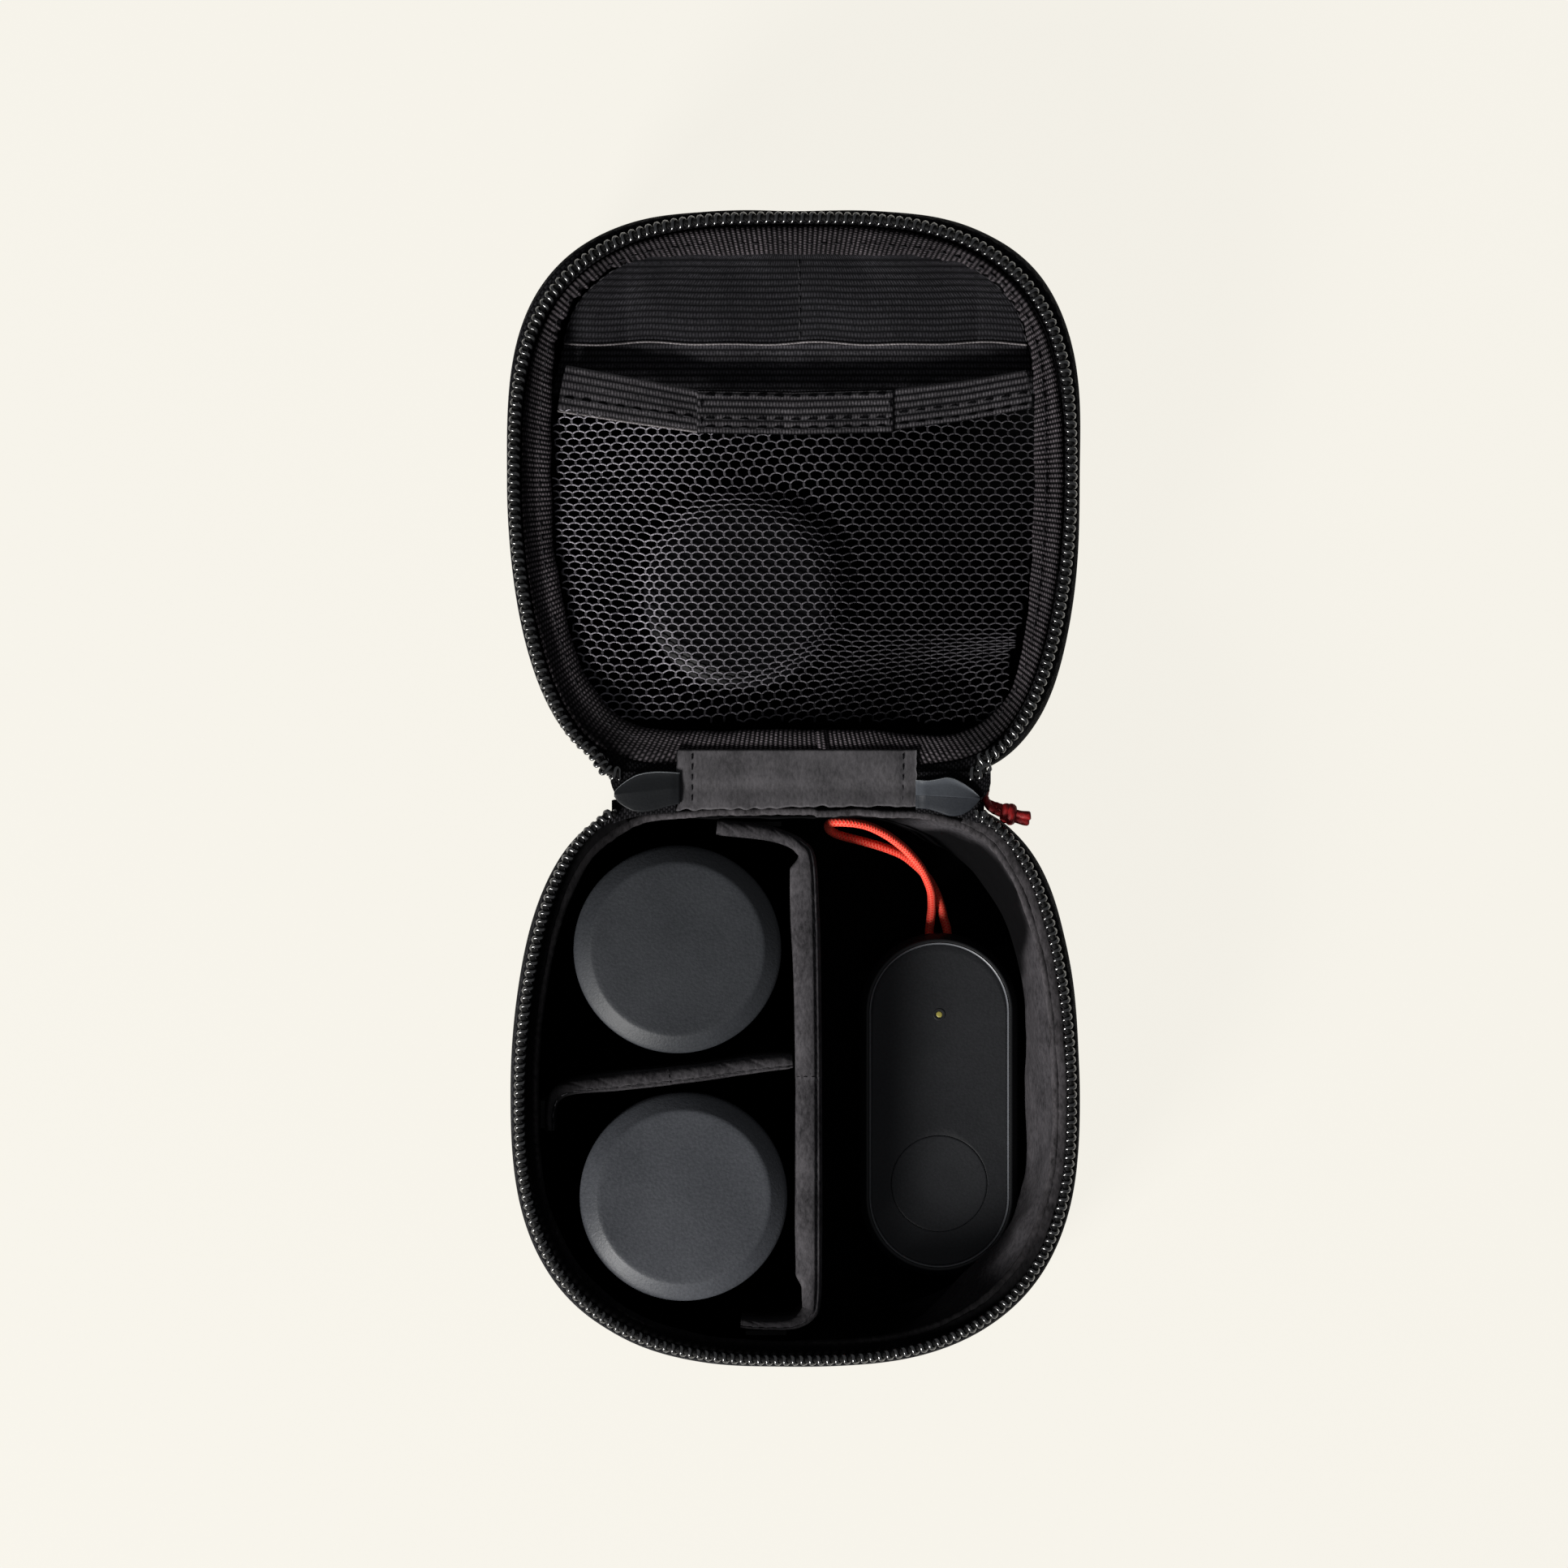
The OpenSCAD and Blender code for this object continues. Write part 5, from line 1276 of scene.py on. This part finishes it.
# End tab: a low moulded ridge with a crease along it
def tabPiece(name, side, finishes):
    size = tab[side]
    share = 1 - (1 - np.linspace(0, 1, 44)) ** 1.5
    smooth = lambda q: np.convolve(np.pad(np.interp(share, *np.array(size[q]).T), 1, mode="edge"),
                                   np.ones(3) / 3, "valid")[:, None]
    upper, lower, mid = smooth("upper"), smooth("lower"), smooth("mid")
    # across: a thin lip, a slope, the crease and the lower slope
    across = np.array([-1, -0.97, -0.9, -0.6, -0.3, -0.06, 0, 0.06, 0.3, 0.6, 0.88, 0.93, 0.98, 1])
    rise = np.array([0, .35, .5, .75, 1.05, 1.32, 1.4, 1.36, 1.15, 1.0, 0.9, 1.12, 0.95, 0])
    x = side * (size["start"] + share * size["length"])
    y = mid + np.where(across > 0, (upper - mid) * across, (mid - lower) * across)
    body = (0.45 + 0.55 * (upper - lower) / 8) * (0.35 + 0.65 * smoothStep(share, 0, 0.15))[:, None]
    z = tab["low"] + 0.2 + rise * size["crown"] * body
    low = stack(x[:, None], y, tab["low"])
    rows = np.concatenate([stack(x[:, None], y, z), low[:, ::-1]], 1)
    p, f, t = loft(rows, caps=True)
    # painted light and shade: on the right tab the upper slope has a lit copy of the rubber and the
    # lower one a shaded copy; on both tabs the lip has a painted highlight
    column = f[0][:, 0] % rows.shape[1]
    index = np.where(column > 5, 0, 1)
    index[np.isin(column, [11, 12])] = 2
    node = "hinge_tab_right" if side > 0 else "hinge_tab_left"
    piece = addPiece(name, (p, f, t), finishes, bend, "tab_rubber", node)
    full = np.ones(len(piece.data.polygons), np.int32)
    full[:len(index)] = index
    piece.data.polygons.foreach_set("material_index", full)


tabPiece("hingeTabRight", 1, [plastics["tabLight"], plastics["tabShade"], plastics["tabHighlight"]])
tabPiece("hingeTabLeft", -1, [plastics["tabDark"], plastics["tabDark"], plastics["tabHighlight"]])
print("hinge made")

# Padded dividers: places, half thickness and lowest point along each, as the solids have them
dividers = {
    "long": {"top": 34.2, "seam": 0.5, "spill": 1.15, "lap": 63.0, "stations": [
        (-15.5, -7.55, 1.6, 10), (-6.8, -8.5, 1.55, 10), (-1.9, -9.8, 1.35, 10),
        (1.0, -11.5, 1.4, 10), (2.4, -14.6, 1.75, 4.2), (2.8, -28.25, 2.15, 3.2),
        (3.2, -56.5, 2.07, 3.2), (3.2, -81.9, 2.2, 3.2), (3.2, -100.1, 2.02, 4.2),
        (2.6, -103.5, 1.67, 10), (-0.2, -105.5, 1.2, 10), (-4.8, -105.9, 1, 10),
        (-10.8, -105.6, 1, 10)]},
    "cross": {"top": 33.6, "seam": -0.6, "spill": 0.35, "lap": 30.0, "stations": [
        (-48.5, -67.5, 1, 10), (-48.39, -63.5, 1, 10), (-47.2, -60.5, 1.32, 10),
        (-43.8, -58.9, 1.5, 4.2), (-34.8, -57.9, 1.76, 3.2), (-20.3, -56.3, 1.76, 3.2),
        (-8.7, -54.6, 1.76, 3.2), (-0.5, -53.8, 1.5, 3.2)]},
}


# Divider: rings across its path, from one end to the other
def dividerPiece(kind, seed):
    size = dividers[kind]
    s = np.array(size["stations"], float)
    path = smoothLine(np.column_stack([s[:, :2], np.zeros(len(s))]), 0.3)
    at = [np.linalg.norm(path[:, :2] - q[:2], axis=1).argmin() for q in s]
    half = np.interp(np.arange(len(path)), at, s[:, 2])
    low = np.interp(np.arange(len(path)), at, s[:, 3])
    smooth = lambda a, k: np.convolve(np.pad(a, k, mode="edge"), np.ones(2 * k + 1) / (2 * k + 1),
                                      "valid")
    half, low = smooth(half, 5), smooth(low, 4)
    run = spread(path)
    ends = np.minimum(run, run[-1] - run)
    side = stack(-directions(path)[:, 1], directions(path)[:, 0])
    # outline across: half a turn over the rounded top, straight sides, rounded foot
    a = np.radians(np.linspace(0, 180, 33))
    topCurve = stack(np.cos(a), np.sin(a))
    sideShare = np.linspace(0, 1, 16)[1:-1]
    rows = []
    for i in range(len(path)):
        h = half[i] * (0.9 + 0.1 * smoothStep(ends[i], 0, 1.2))
        sag = 0.18 * noiseField(np.array(run[i]), 0.0, 23, seed) - 0.15
        top = size["top"] + min(sag, 0) - 0.5 * (1 - smoothStep(ends[i], 0, 1.5))
        lap = 0.16 * smoothStep(run[i], size["lap"], size["lap"] + 0.7)
        turn = h * 0.95
        seam = np.exp(-((topCurve[:, 0] - size["seam"]) / 0.11) ** 2)
        seam = seam * (1 if kind == "cross" else smoothStep(run[i], 15, 19))
        px = topCurve[:, 0] * (h - lap * 0.3) * (1 - 0.1 * seam)
        pz = top - lap - turn + topCurve[:, 1] * turn - 0.42 * seam
        wr = 0.07 * noiseField(run[i] + topCurve[:, 0] * 3, run[i] * 0.3, 3.2, seed + 2)
        pz = pz + np.minimum(wr, 0.0)
        down = top - turn - (top - turn - low[i] - 0.5) * sideShare
        puff = 1 - 0.09 * (1 + noiseField(run[i] + down, down * 1.4, 14, seed + 4)) \
            - 0.05 * np.cos(sideShare * math.pi * 2)
        left = stack(-h * np.clip(puff, 0.72, 1.0), down)
        right = stack(h * np.clip(puff, 0.72, 1.0), down)[::-1]
        foot = np.array([(-0.92 * h, low[i] + 0.4), (-0.7 * h, low[i]), (0, low[i]),
                         (0.7 * h, low[i]), (0.92 * h, low[i] + 0.4)])
        ringPoints = np.vstack([stack(px, pz), left, foot, right])
        # the padding spills over to the left along the straight run
        more = 1 if kind == "cross" else 1 + 0.6 * np.exp(-((run[i] - 25) / 12) ** 2)
        spill = size["spill"] * more * smoothStep(ends[i], 19, 22) * smoothStep(
            ringPoints[:, 1], 15, 28) * np.clip(-ringPoints[:, 0] / h * side[i, 0] + 0.15, 0, 1)
        ringPoints[:, 0] -= spill * np.sign(side[i, 0] + 1e-9)
        rows.append(stack(path[i, 0] + side[i, 0] * ringPoints[:, 0],
                                     path[i, 1] + side[i, 1] * ringPoints[:, 0],
                                     ringPoints[:, 1]))
    rows = np.array(rows)
    p, f, t = loft(rows, caps=True)
    # painted shade: the ends with their flaps are painted darker, where they lie in the shade, and
    # the cross divider a little darker all along
    if kind == "cross":
        flap = 0.76 * smoothStep(run, 7, 24)
    else:
        flap = (1 - 0.65 * smoothStep(run, 104, 112)) * (0.7 + 0.3 * smoothStep(run, 14, 22))
    body = kind + "_divider"
    tone = np.repeat((0.05 + 0.95 * flap)[:, None], rows.shape[1], 1)
    panel = addPiece(kind + "Divider", (p, f, t), cloths["divider"], body, "divider_cloth",
                     "divider_" + kind, shade=tone)
    # stitches lie in the seam along the top, and across it where the cloth laps over
    column = int(np.abs(topCurve[:, 0] - size["seam"]).argmin())
    line = resample(rows[6 if kind == "cross" else 64:-6, column] + [0, 0, 0.1], 0.4)
    sewn = [stitchRow(line, (1.5, 0.9, 0.12, 0.05))]
    row = int(np.abs(run - size["lap"]).argmin())
    line = resample(rows[row, 3:30] + [0, 0, 0.05], 0.3)
    sewn.append(stitchRow(line, (0.8, 0.5, 0.1, 0.03)))
    addPiece(kind + "DividerStitches", joinParts(sewn), cloths["thread"], body, "divider_cloth")


for kind, seed in (("long", 81), ("cross", 91)):
    dividerPiece(kind, seed)
print("dividers made")

# Front caps of the lenses: flat face, wide bevel, skirt
lensKinds = {
    "lens_a": {"centre": (-23.3, -31.7), "radius": 20.5, "top": 36.0, "finish": plastics["capShaded"]},
    "lens_b": {"centre": (-22.1, -80.6), "radius": 20.5, "top": 36.0, "finish": plastics["cap"]},
    "pocket_lens": {"centre": (-10.9, 38.7), "radius": 19.2, "top": 31.6,
                    "finish": plastics["darkCap"]},
}
cap = {"skirt": 11.3, "wall": 1.3, "bevel": 3.3, "drop": 2.0, "face": 1.6}


def capPiece(kind):
    lens = lensKinds[kind]
    r, top = lens["radius"], lens["top"]
    inner, low = r - cap["wall"], top - cap["skirt"]
    outline = roundedOutline([(r - cap["bevel"], top), (r - 0.5, top - cap["drop"]),
                              (r, top - cap["drop"] - 0.5), (r, low), (inner, low),
                              (inner, top - cap["drop"] - cap["face"]),
                              (inner - cap["bevel"], top - cap["face"])], 0.35, 5, closed=False)
    outline[0] = (r - cap["bevel"], top)
    crown = [(0.02, top), (4, top), (9, top), (13, top), (r - cap["bevel"] - 1.0, top),
             (r - cap["bevel"] - 0.35, top - 0.015), (r - cap["bevel"], top - 0.09),
             (r - cap["bevel"] + 0.3, top - 0.24)]
    under = [(inner - cap["bevel"] - 0.4, top - cap["face"]), (9, top - cap["face"]),
             (0.02, top - cap["face"])]
    profile = np.vstack([crown, outline[1:-1], under])
    body = "pocket_lens" if kind == "pocket_lens" else kind + "_front"
    addPiece(kind + "Cap", lathe(profile, lens["centre"], 160, ring=False), lens["finish"], body,
             "cap_plastic", kind + "_front_cap")


for kind in lensKinds:
    capPiece(kind)
print("lens caps made")

# Remote: two rounded shells, an inset face plate and a round button
remote = {"centre": (28.8, -63.2), "half": (15.8, 34.3), "split": 9.2, "top": 15.2,
          "margin": 2.1, "gap": 0.15, "plate": (13.9, 14.9), "button": (28.8, -78.9, 9.6),
          "window": (28.8, -45.1, 0.9), "buttonTop": 14.98}


# Outline of the remote, moved inwards by inset
def pill(inset, z):
    r = remote["half"][0] - inset
    straight = remote["half"][1] - remote["half"][0]
    halfRound = math.pi * r + 2 * straight
    # an arc and a straight side, twice
    s = np.linspace(0, 2 * halfRound, 200, endpoint=False)
    side = np.where(s < halfRound, 1, -1)
    s = np.where(s < halfRound, s, s - halfRound)
    turn, down = np.minimum(s / r, math.pi), np.maximum(s - math.pi * r, 0)
    cx, cy = remote["centre"]
    return stack(cx + side * r * np.cos(turn), cy + side * (straight + r * np.sin(turn) - down),
                 float(z))


def pillPiece(name, profile, finish, body, slot, *nodes, ring=False):
    rows = [pill(inset, z) for inset, z in profile]
    addPiece(name, loft(rows, ring=ring, caps=not ring), finish, body, slot, *nodes)


split, top = remote["split"], remote["top"]
frontProfile = roundedOutline([(0, split + 0.04), (0, top - 1.7), (1.15, top), (1.7, top),
                               (remote["margin"], top - 0.38), (remote["margin"], 13.88),
                               (4.6, 13.88), (4.6, split + 0.04)], 0.9, 6)
pillPiece("remoteFrontCase", frontProfile, plastics["remote"], "remote", "remote_plastic",
          "remote_front_case", ring=True)
backProfile = [(15.7, 3.2), (11, 3.2)] + [tuple(q) for q in roundedOutline(
    [(8.0, 3.2), (3.4, 3.2), (1.5, 4.2), (0.45, 5.6), (0, 7.2), (0, split - 0.04),
     (4.7, split - 0.04), (4.7, 4.7), (8.0, 4.7)], 0.6, 4, closed=False)] + [(11, 4.7), (15.7, 4.7)]
pillPiece("remoteBackCase", backProfile, plastics["remote"], "remote", "remote_plastic",
          "remote_back_case")


# Face plate with a round hole for the button
def platePiece():
    inset = remote["margin"] + remote["gap"]
    low, high = remote["plate"]
    cx, cy = remote["centre"]
    bx, by, br = remote["button"]
    br = br + 0.04
    straight = remote["half"][1] - remote["half"][0]
    r = remote["half"][0] - inset
    a = np.linspace(0, 2 * math.pi, 240, endpoint=False)
    way = stack(np.cos(a), np.sin(a))
    # where a line from the button's centre meets the plate's outline, found by halving
    near, far = np.zeros(240), np.full(240, 90.0)
    for _ in range(30):
        middle = (near + far) / 2
        q = np.array([bx - cx, by - cy]) + way * middle[:, None]
        inside = np.hypot(q[:, 0], np.maximum(0, np.abs(q[:, 1]) - straight)) < r
        near, far = np.where(inside, middle, near), np.where(inside, far, middle)
    edge = 0.07

    # rings round the hole, and along the outline, at a distance from them and a height
    def hole(k, z):
        return stack(bx + (br + k) * way[:, 0], by + (br + k) * way[:, 1], z)

    def rim(k, z):
        return stack(bx + (near - k) * way[:, 0], by + (near - k) * way[:, 1], z)

    rows = [hole(0, low), hole(0, high - edge), hole(edge * 0.3, high - edge * 0.3)]
    rows += [hole(edge, high) * (1 - k) + rim(edge, high) * k for k in np.linspace(0, 1, 26)]
    rows += [rim(edge * 0.3, high - edge * 0.3), rim(0, high - edge), rim(0, low)]
    addPiece("remoteFacePlate", loft(rows, ring=True), plastics["plate"], "remote",
             "remote_plate", "remote_face_plate")


platePiece()
bx, by, br = remote["button"]
zTop = remote["buttonTop"]
# dished, its edge level with the plate
profile = roundedOutline([(0.02, zTop - 0.3), (br * 0.45, zTop - 0.24), (br * 0.8, zTop - 0.09),
                          (br - 0.3, zTop), (br, zTop - 0.1), (br, 13.9), (0.02, 13.9)],
                         0.12, 4, closed=False)
addPiece("remoteButtonDisc", lathe(profile, (bx, by), 120, ring=False), plastics["button"],
         "remote_button", "remote_plastic", "remote_button")
wx, wy, wr = remote["window"]
profile = roundedOutline([(0.02, 15.02), (wr * 0.55, 14.99), (wr * 0.8, 14.8), (wr * 0.8, 12.5),
                          (0.02, 12.5)], 0.15, 4, closed=False)
addPiece("remoteLightPipe", lathe(profile, (wx, wy), 40, ring=False), plastics["light"], "remote",
         "remote_light", "remote_light_window")
profile = roundedOutline([(wr * 0.82, 14.6), (wr * 0.82, 15.0), (wr * 1.25, 15.02),
                          (wr * 1.4, 14.92), (wr * 1.4, 14.6)], 0.06, 3)
addPiece("remoteLightRing", lathe(profile, (wx, wy), 40), plastics["plate"], "remote",
         "remote_plate")
# narrow chamfer between the rim and the plate, light grey as a painted highlight
rimProfile = [(2.22, 14.75), (2.22, 14.9), (1.95, 15.25), (1.85, 15.25), (1.85, 14.75)]
pillPiece("remoteRimChamfer", rimProfile, plastics["chamfer"], "remote", "remote_plastic",
          ring=True)
print("remote made")

# Tape tails at both ends of the zip, beside the hinge
tail = {"from": 23.6, "to": 37.2, "y": 2.25, "top": 36.35, "thick": 0.5,
        "fold": {1: [(24.1, -1.0), (35.0, -2.2), (36.5, -2.2), (37.5, -1.3), (38.2, -0.2),
                     (38.5, 1.2)],
                 -1: [(24.1, -0.5), (34.5, -1.0), (35.6, -0.8), (36.2, 0.6), (36.4, 1.4)]}}


# Flat end of the tape beside the hinge
def tailPieces(half, side):
    mirror = 1 if half == "lid" else -1
    x = np.linspace(tail["from"], tail["to"] - (half == "base" and side < 0), 50)[:, None]
    k = np.linspace(0, 1, 16)[None]
    across = (np.minimum(x, 36.6) / case["halfWidth"] / 0.803) ** 7 * 0.98
    cornerY = case["widest"] - 58.2 * (1 - across).clip(0, 1) ** (1 / 7)
    outer = np.maximum(cornerY, 2.9) + 1.7
    y = tail["y"] + (outer - tail["y"]) * k
    z = tail["top"] - 0.75 * k ** 2 + 0.1 * noiseField(x, y, 4, 111)
    end = smoothStep(x, tail["to"] - 1.6, tail["to"])
    y = y + end * 0.5 * (1 - k)
    name = half + ("TapeTailRight" if side > 0 else "TapeTailLeft")
    addPiece(name, slab(stack(side * x, mirror * y, z - 0.3 * end), tail["thick"]),
             cloths["tape"], half, "zip_tape_cloth")
    if half == "lid":
        # the lid's tape lies folded over the gap, under the end tab
        size = tail["fold"][side]
        x = np.interp(np.linspace(0, 1, 50), [0, 1], [24.1, size[-1][0]])[:, None]
        low = np.interp(x, *np.array(size).T)
        y = low + (3.4 - low) * k
        addPiece(name.replace("TapeTail", "TapeFold"), slab(stack(side * x, y, 36.7), 0.22),
                 cloths["tape"], half, "zip_tape_cloth")


for half in ("lid", "base"):
    for side in (-1, 1):
        tailPieces(half, side)
print("zip ends made")

# Slider between the hinge walls, and its twisted cord pull with a knot
slider = {"x0": 26.7, "x1": 35.1, "y": 1.85, "low": 29.8, "high": 36.0, "wing": 1.0,
          "postZ": 33.1}


# One of the two plates of the slider: its rounded outline, a little smaller at both faces
def sliderWing(side):
    x0, x1, far, low, high, thick = (slider[k] for k in ("x0", "x1", "y", "low", "high", "wing"))
    outline = roundedOutline([(x0, low + 1.4), (x0 + 1.6, low), (x1 - 1.2, low), (x1, low + 1.6),
                              (x1, high - 1.6), (x1 - 1.2, high), (x0 + 1.6, high),
                              (x0, high - 1.4)], 0.8, 4)
    centre = outline.mean(0)
    rows = []
    for y, k in ((far - thick, 0.94), (far - thick + 0.12, 0.985), (far - 0.3, 1.0),
                 (far - 0.1, 0.975), (far, 0.92)):
        q = centre + (outline - centre) * k
        rows.append(stack(q[:, 0], y * side, q[:, 1]))
    return loft(rows, caps=True)


postLine = roundedOutline([(-1.0, -0.8), (1.0, -0.8), (1.0, 0.8), (-1.0, 0.8)], 0.2, 2)
post = loft([stack(x, postLine[:, 0], slider["postZ"] + postLine[:, 1])
             for x in (26.75, 27.2, 28.0, 29.1)], caps=True)
addPiece("zipSliderBody", joinParts([sliderWing(1), sliderWing(-1), post]), metals["slider"],
         "zip_slider", "slider_metal", "zip_slider_body")

pull = {"pivot": (37.0, 0.0, 33.1), "strand": 0.82, "twist": 1.3}
# route of the cord from its pivot, and a point set off sideways and up from it
route = smoothLine(np.array([(0, 0, 0), (0.1, -1.7, 0.4), (1.6, -3.35, 0.9), (4.2, -4.5, 1.4),
                             (6.6, -5.4, 1.8), (8.4, -5.8, 1.9), (9.8, -5.8, 1.8),
                             (11.6, -5.6, 1.7)]) + pull["pivot"], 0.05)
routeRun, routeWay = spread(route), directions(route)


# Points beside the pull's route, from rows of distance, sideways and up
def aside(q):
    at, way = pick(q[:, 0], routeRun, route), pick(q[:, 0], routeRun, routeWay)
    at = at + way * np.minimum(q[:, 0], 0)[:, None]
    return (at + stack(-way[:, 1], way[:, 0], way[:, 2]) * q[:, 1:2]
            + np.outer(q[:, 2], [0, 0, 1.0]))


def pullStrand(q, radius, sides=14, step=0.12):
    return tube(resample(aside(q), step), radius, sides)


# two strands twisted round each other, and the eye that goes round the slider's pin
s = np.linspace(0, 1, 160)
parts = []
for sign in (-1, 1):
    phase = s * pull["twist"] * math.pi + (0 if sign > 0 else math.pi)
    parts.append(pullStrand(stack(s * 8.2 - 0.3, 0.5 * np.cos(phase), 0.42 * np.sin(phase)),
                            lambda d, a: pull["strand"] * (1 + 0.03 * np.sin(d * 6 + 2 * a))))
eye = np.radians(np.linspace(60, 300, 40))
parts.append(pullStrand(stack(0.1 + 0.85 * np.cos(eye), 0.85 * np.sin(eye), 0), 0.55, 12, 0.1))
# overhand knot: one and a half turns round the cord, then the cut ends lying together
turn = np.linspace(0.4, 3.2 * math.pi, 120)
knot = stack(7.0 + 1.8 * turn / turn[-1], 1.15 * np.cos(turn), 0.75 * np.sin(turn))
parts.append(pullStrand(knot, lambda d, a: 1.02 + 0.02 * np.sin(d * 6 + 2 * a)))
k = np.linspace(0, 1, 40)
for sign in (-1, 1):
    q = stack(8.4 + (3.9 + 0.2 * sign) * k, sign * (0.5 + 0.05 * k), 0.25 * sign * k)
    parts.append(pullStrand(q, lambda d, a: 0.8 + 0.12 * smoothStep(d, 1.4, 3.2)
                            - 0.45 * smoothStep(d, 3.4, 4.1) ** 2))
addPiece("zipPullCord", joinParts(parts), cords["pull"], "zip_pull", "pull_cord", "zip_pull")
print("slider and pull made")

# Nodes whose solids are right already get their finish, and a small bevel
finishes = {
    "divider_long_hooks": cloths["hooks"], "divider_cross_hooks": cloths["hooks"],
    "zip_slider_bridge": metals["slider"], "remote_circuit_board": plastics["board"],
    "remote_dome_switch": metals["steel"], "remote_coin_cell": metals["steel"],
    "remote_strap_post": plastics["remote"],
}
for kind in lensKinds:
    finishes[kind + "_barrel"] = plastics["barrel"]
    finishes[kind + "_front_glass"] = lensGlass
    finishes[kind + "_rear_glass"] = lensGlass
    finishes[kind + "_mount_ring"] = metals["mount"]
    finishes[kind + "_rear_cap"] = plastics["rearCap"]
for name, finish in finishes.items():
    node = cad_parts[name]
    for slotIndex in range(max(1, len(node.material_slots))):
        if not node.material_slots:
            node.data.materials.append(finish)
        node.material_slots[slotIndex].link = "OBJECT"
        node.material_slots[slotIndex].material = finish
    bevel = node.modifiers.new("softEdges", "BEVEL")
    bevel.width, bevel.segments = 0.15 * mm, 2
    bevel.limit_method, bevel.angle_limit = "ANGLE", math.radians(35)
print("solid parts finished")

# Pale floor, a low soft lamp from the lower left, and weak light from all round
studio = {"tone": (0.922, 0.896, 0.823), "floorGlow": 0.965, "floorSize": 8000,
          "lamp": (-850, -1010, 730), "lampSize": 420, "lampPower": 44.0, "aim": (0, 0, 20),
          "ambient": 0.09, "mirrored": 0.3, "ambientTone": (0.95, 0.97, 1.0)}
floorMesh = bpy.data.meshes.new("studioFloor")
h = studio["floorSize"] * mm / 2
floorMesh.from_pydata([(-h, -h, 0), (h, -h, 0), (h, h, 0), (-h, h, 0)], [], [(0, 1, 2, 3)])
studioFloor = bpy.data.objects.new("studioFloor", floorMesh)
bpy.context.scene.collection.objects.link(studioFloor)
studioFloor.location.z = -0.05 * mm
tone = (*studio["tone"], 1.0)
paper, desk, shader, _, place = newMaterial("paleFloor", 0.9, Specular_IOR_Level=0.1)
grain = desk.noise(place, 900.0, 2.0, 0.5)
desk.put(shader, Emission_Color=tone,
         Base_Color=desk.tint((0.03, 0.029, 0.027, 1), (0.036, 0.035, 0.032, 1), grain))
path = desk.add("ShaderNodeLightPath").outputs
seen = desk.math("MAXIMUM", desk.math("MAXIMUM", path["Is Camera Ray"], path["Is Glossy Ray"]),
                 path["Is Transmission Ray"])
desk.put(shader, Emission_Strength=desk.math("MULTIPLY", seen, studio["floorGlow"]))
floorMesh.materials.append(paper)

world = bpy.data.worlds.new("softRoom")
bpy.context.scene.world = world
world.use_nodes = True
desk = NodeDesk(world.node_tree)
world.node_tree.nodes.clear()
path = desk.add("ShaderNodeLightPath").outputs
mirrored = desk.math("MAXIMUM", path["Is Glossy Ray"], path["Is Transmission Ray"])
mirrored = desk.math("MULTIPLY_ADD", mirrored, studio["mirrored"] - studio["ambient"],
                     studio["ambient"])
level = desk.math("MAXIMUM", mirrored, path["Is Camera Ray"])
sky = desk.put(desk.add("ShaderNodeBackground"), Strength=level, Color=desk.tint(
    (*studio["ambientTone"], 1.0), tone, path["Is Camera Ray"]))
desk.put(desk.add("ShaderNodeOutputWorld"), Surface=sky.outputs[0])

lampData = bpy.data.lights.new("softLamp", "AREA")
lampData.shape, lampData.size = "SQUARE", studio["lampSize"] * mm
lampData.energy = studio["lampPower"]
lampData.color = (1.0, 0.985, 0.96)
lamp = bpy.data.objects.new("softLamp", lampData)
lamp.location = Vector(studio["lamp"]) * mm
aim = Vector(studio["aim"]) * mm - lamp.location
lamp.rotation_euler = aim.to_track_quat("-Z", "Y").to_euler()
bpy.context.scene.collection.objects.link(lamp)
bpy.context.scene.view_settings.view_transform = "Standard"
print("studio made")
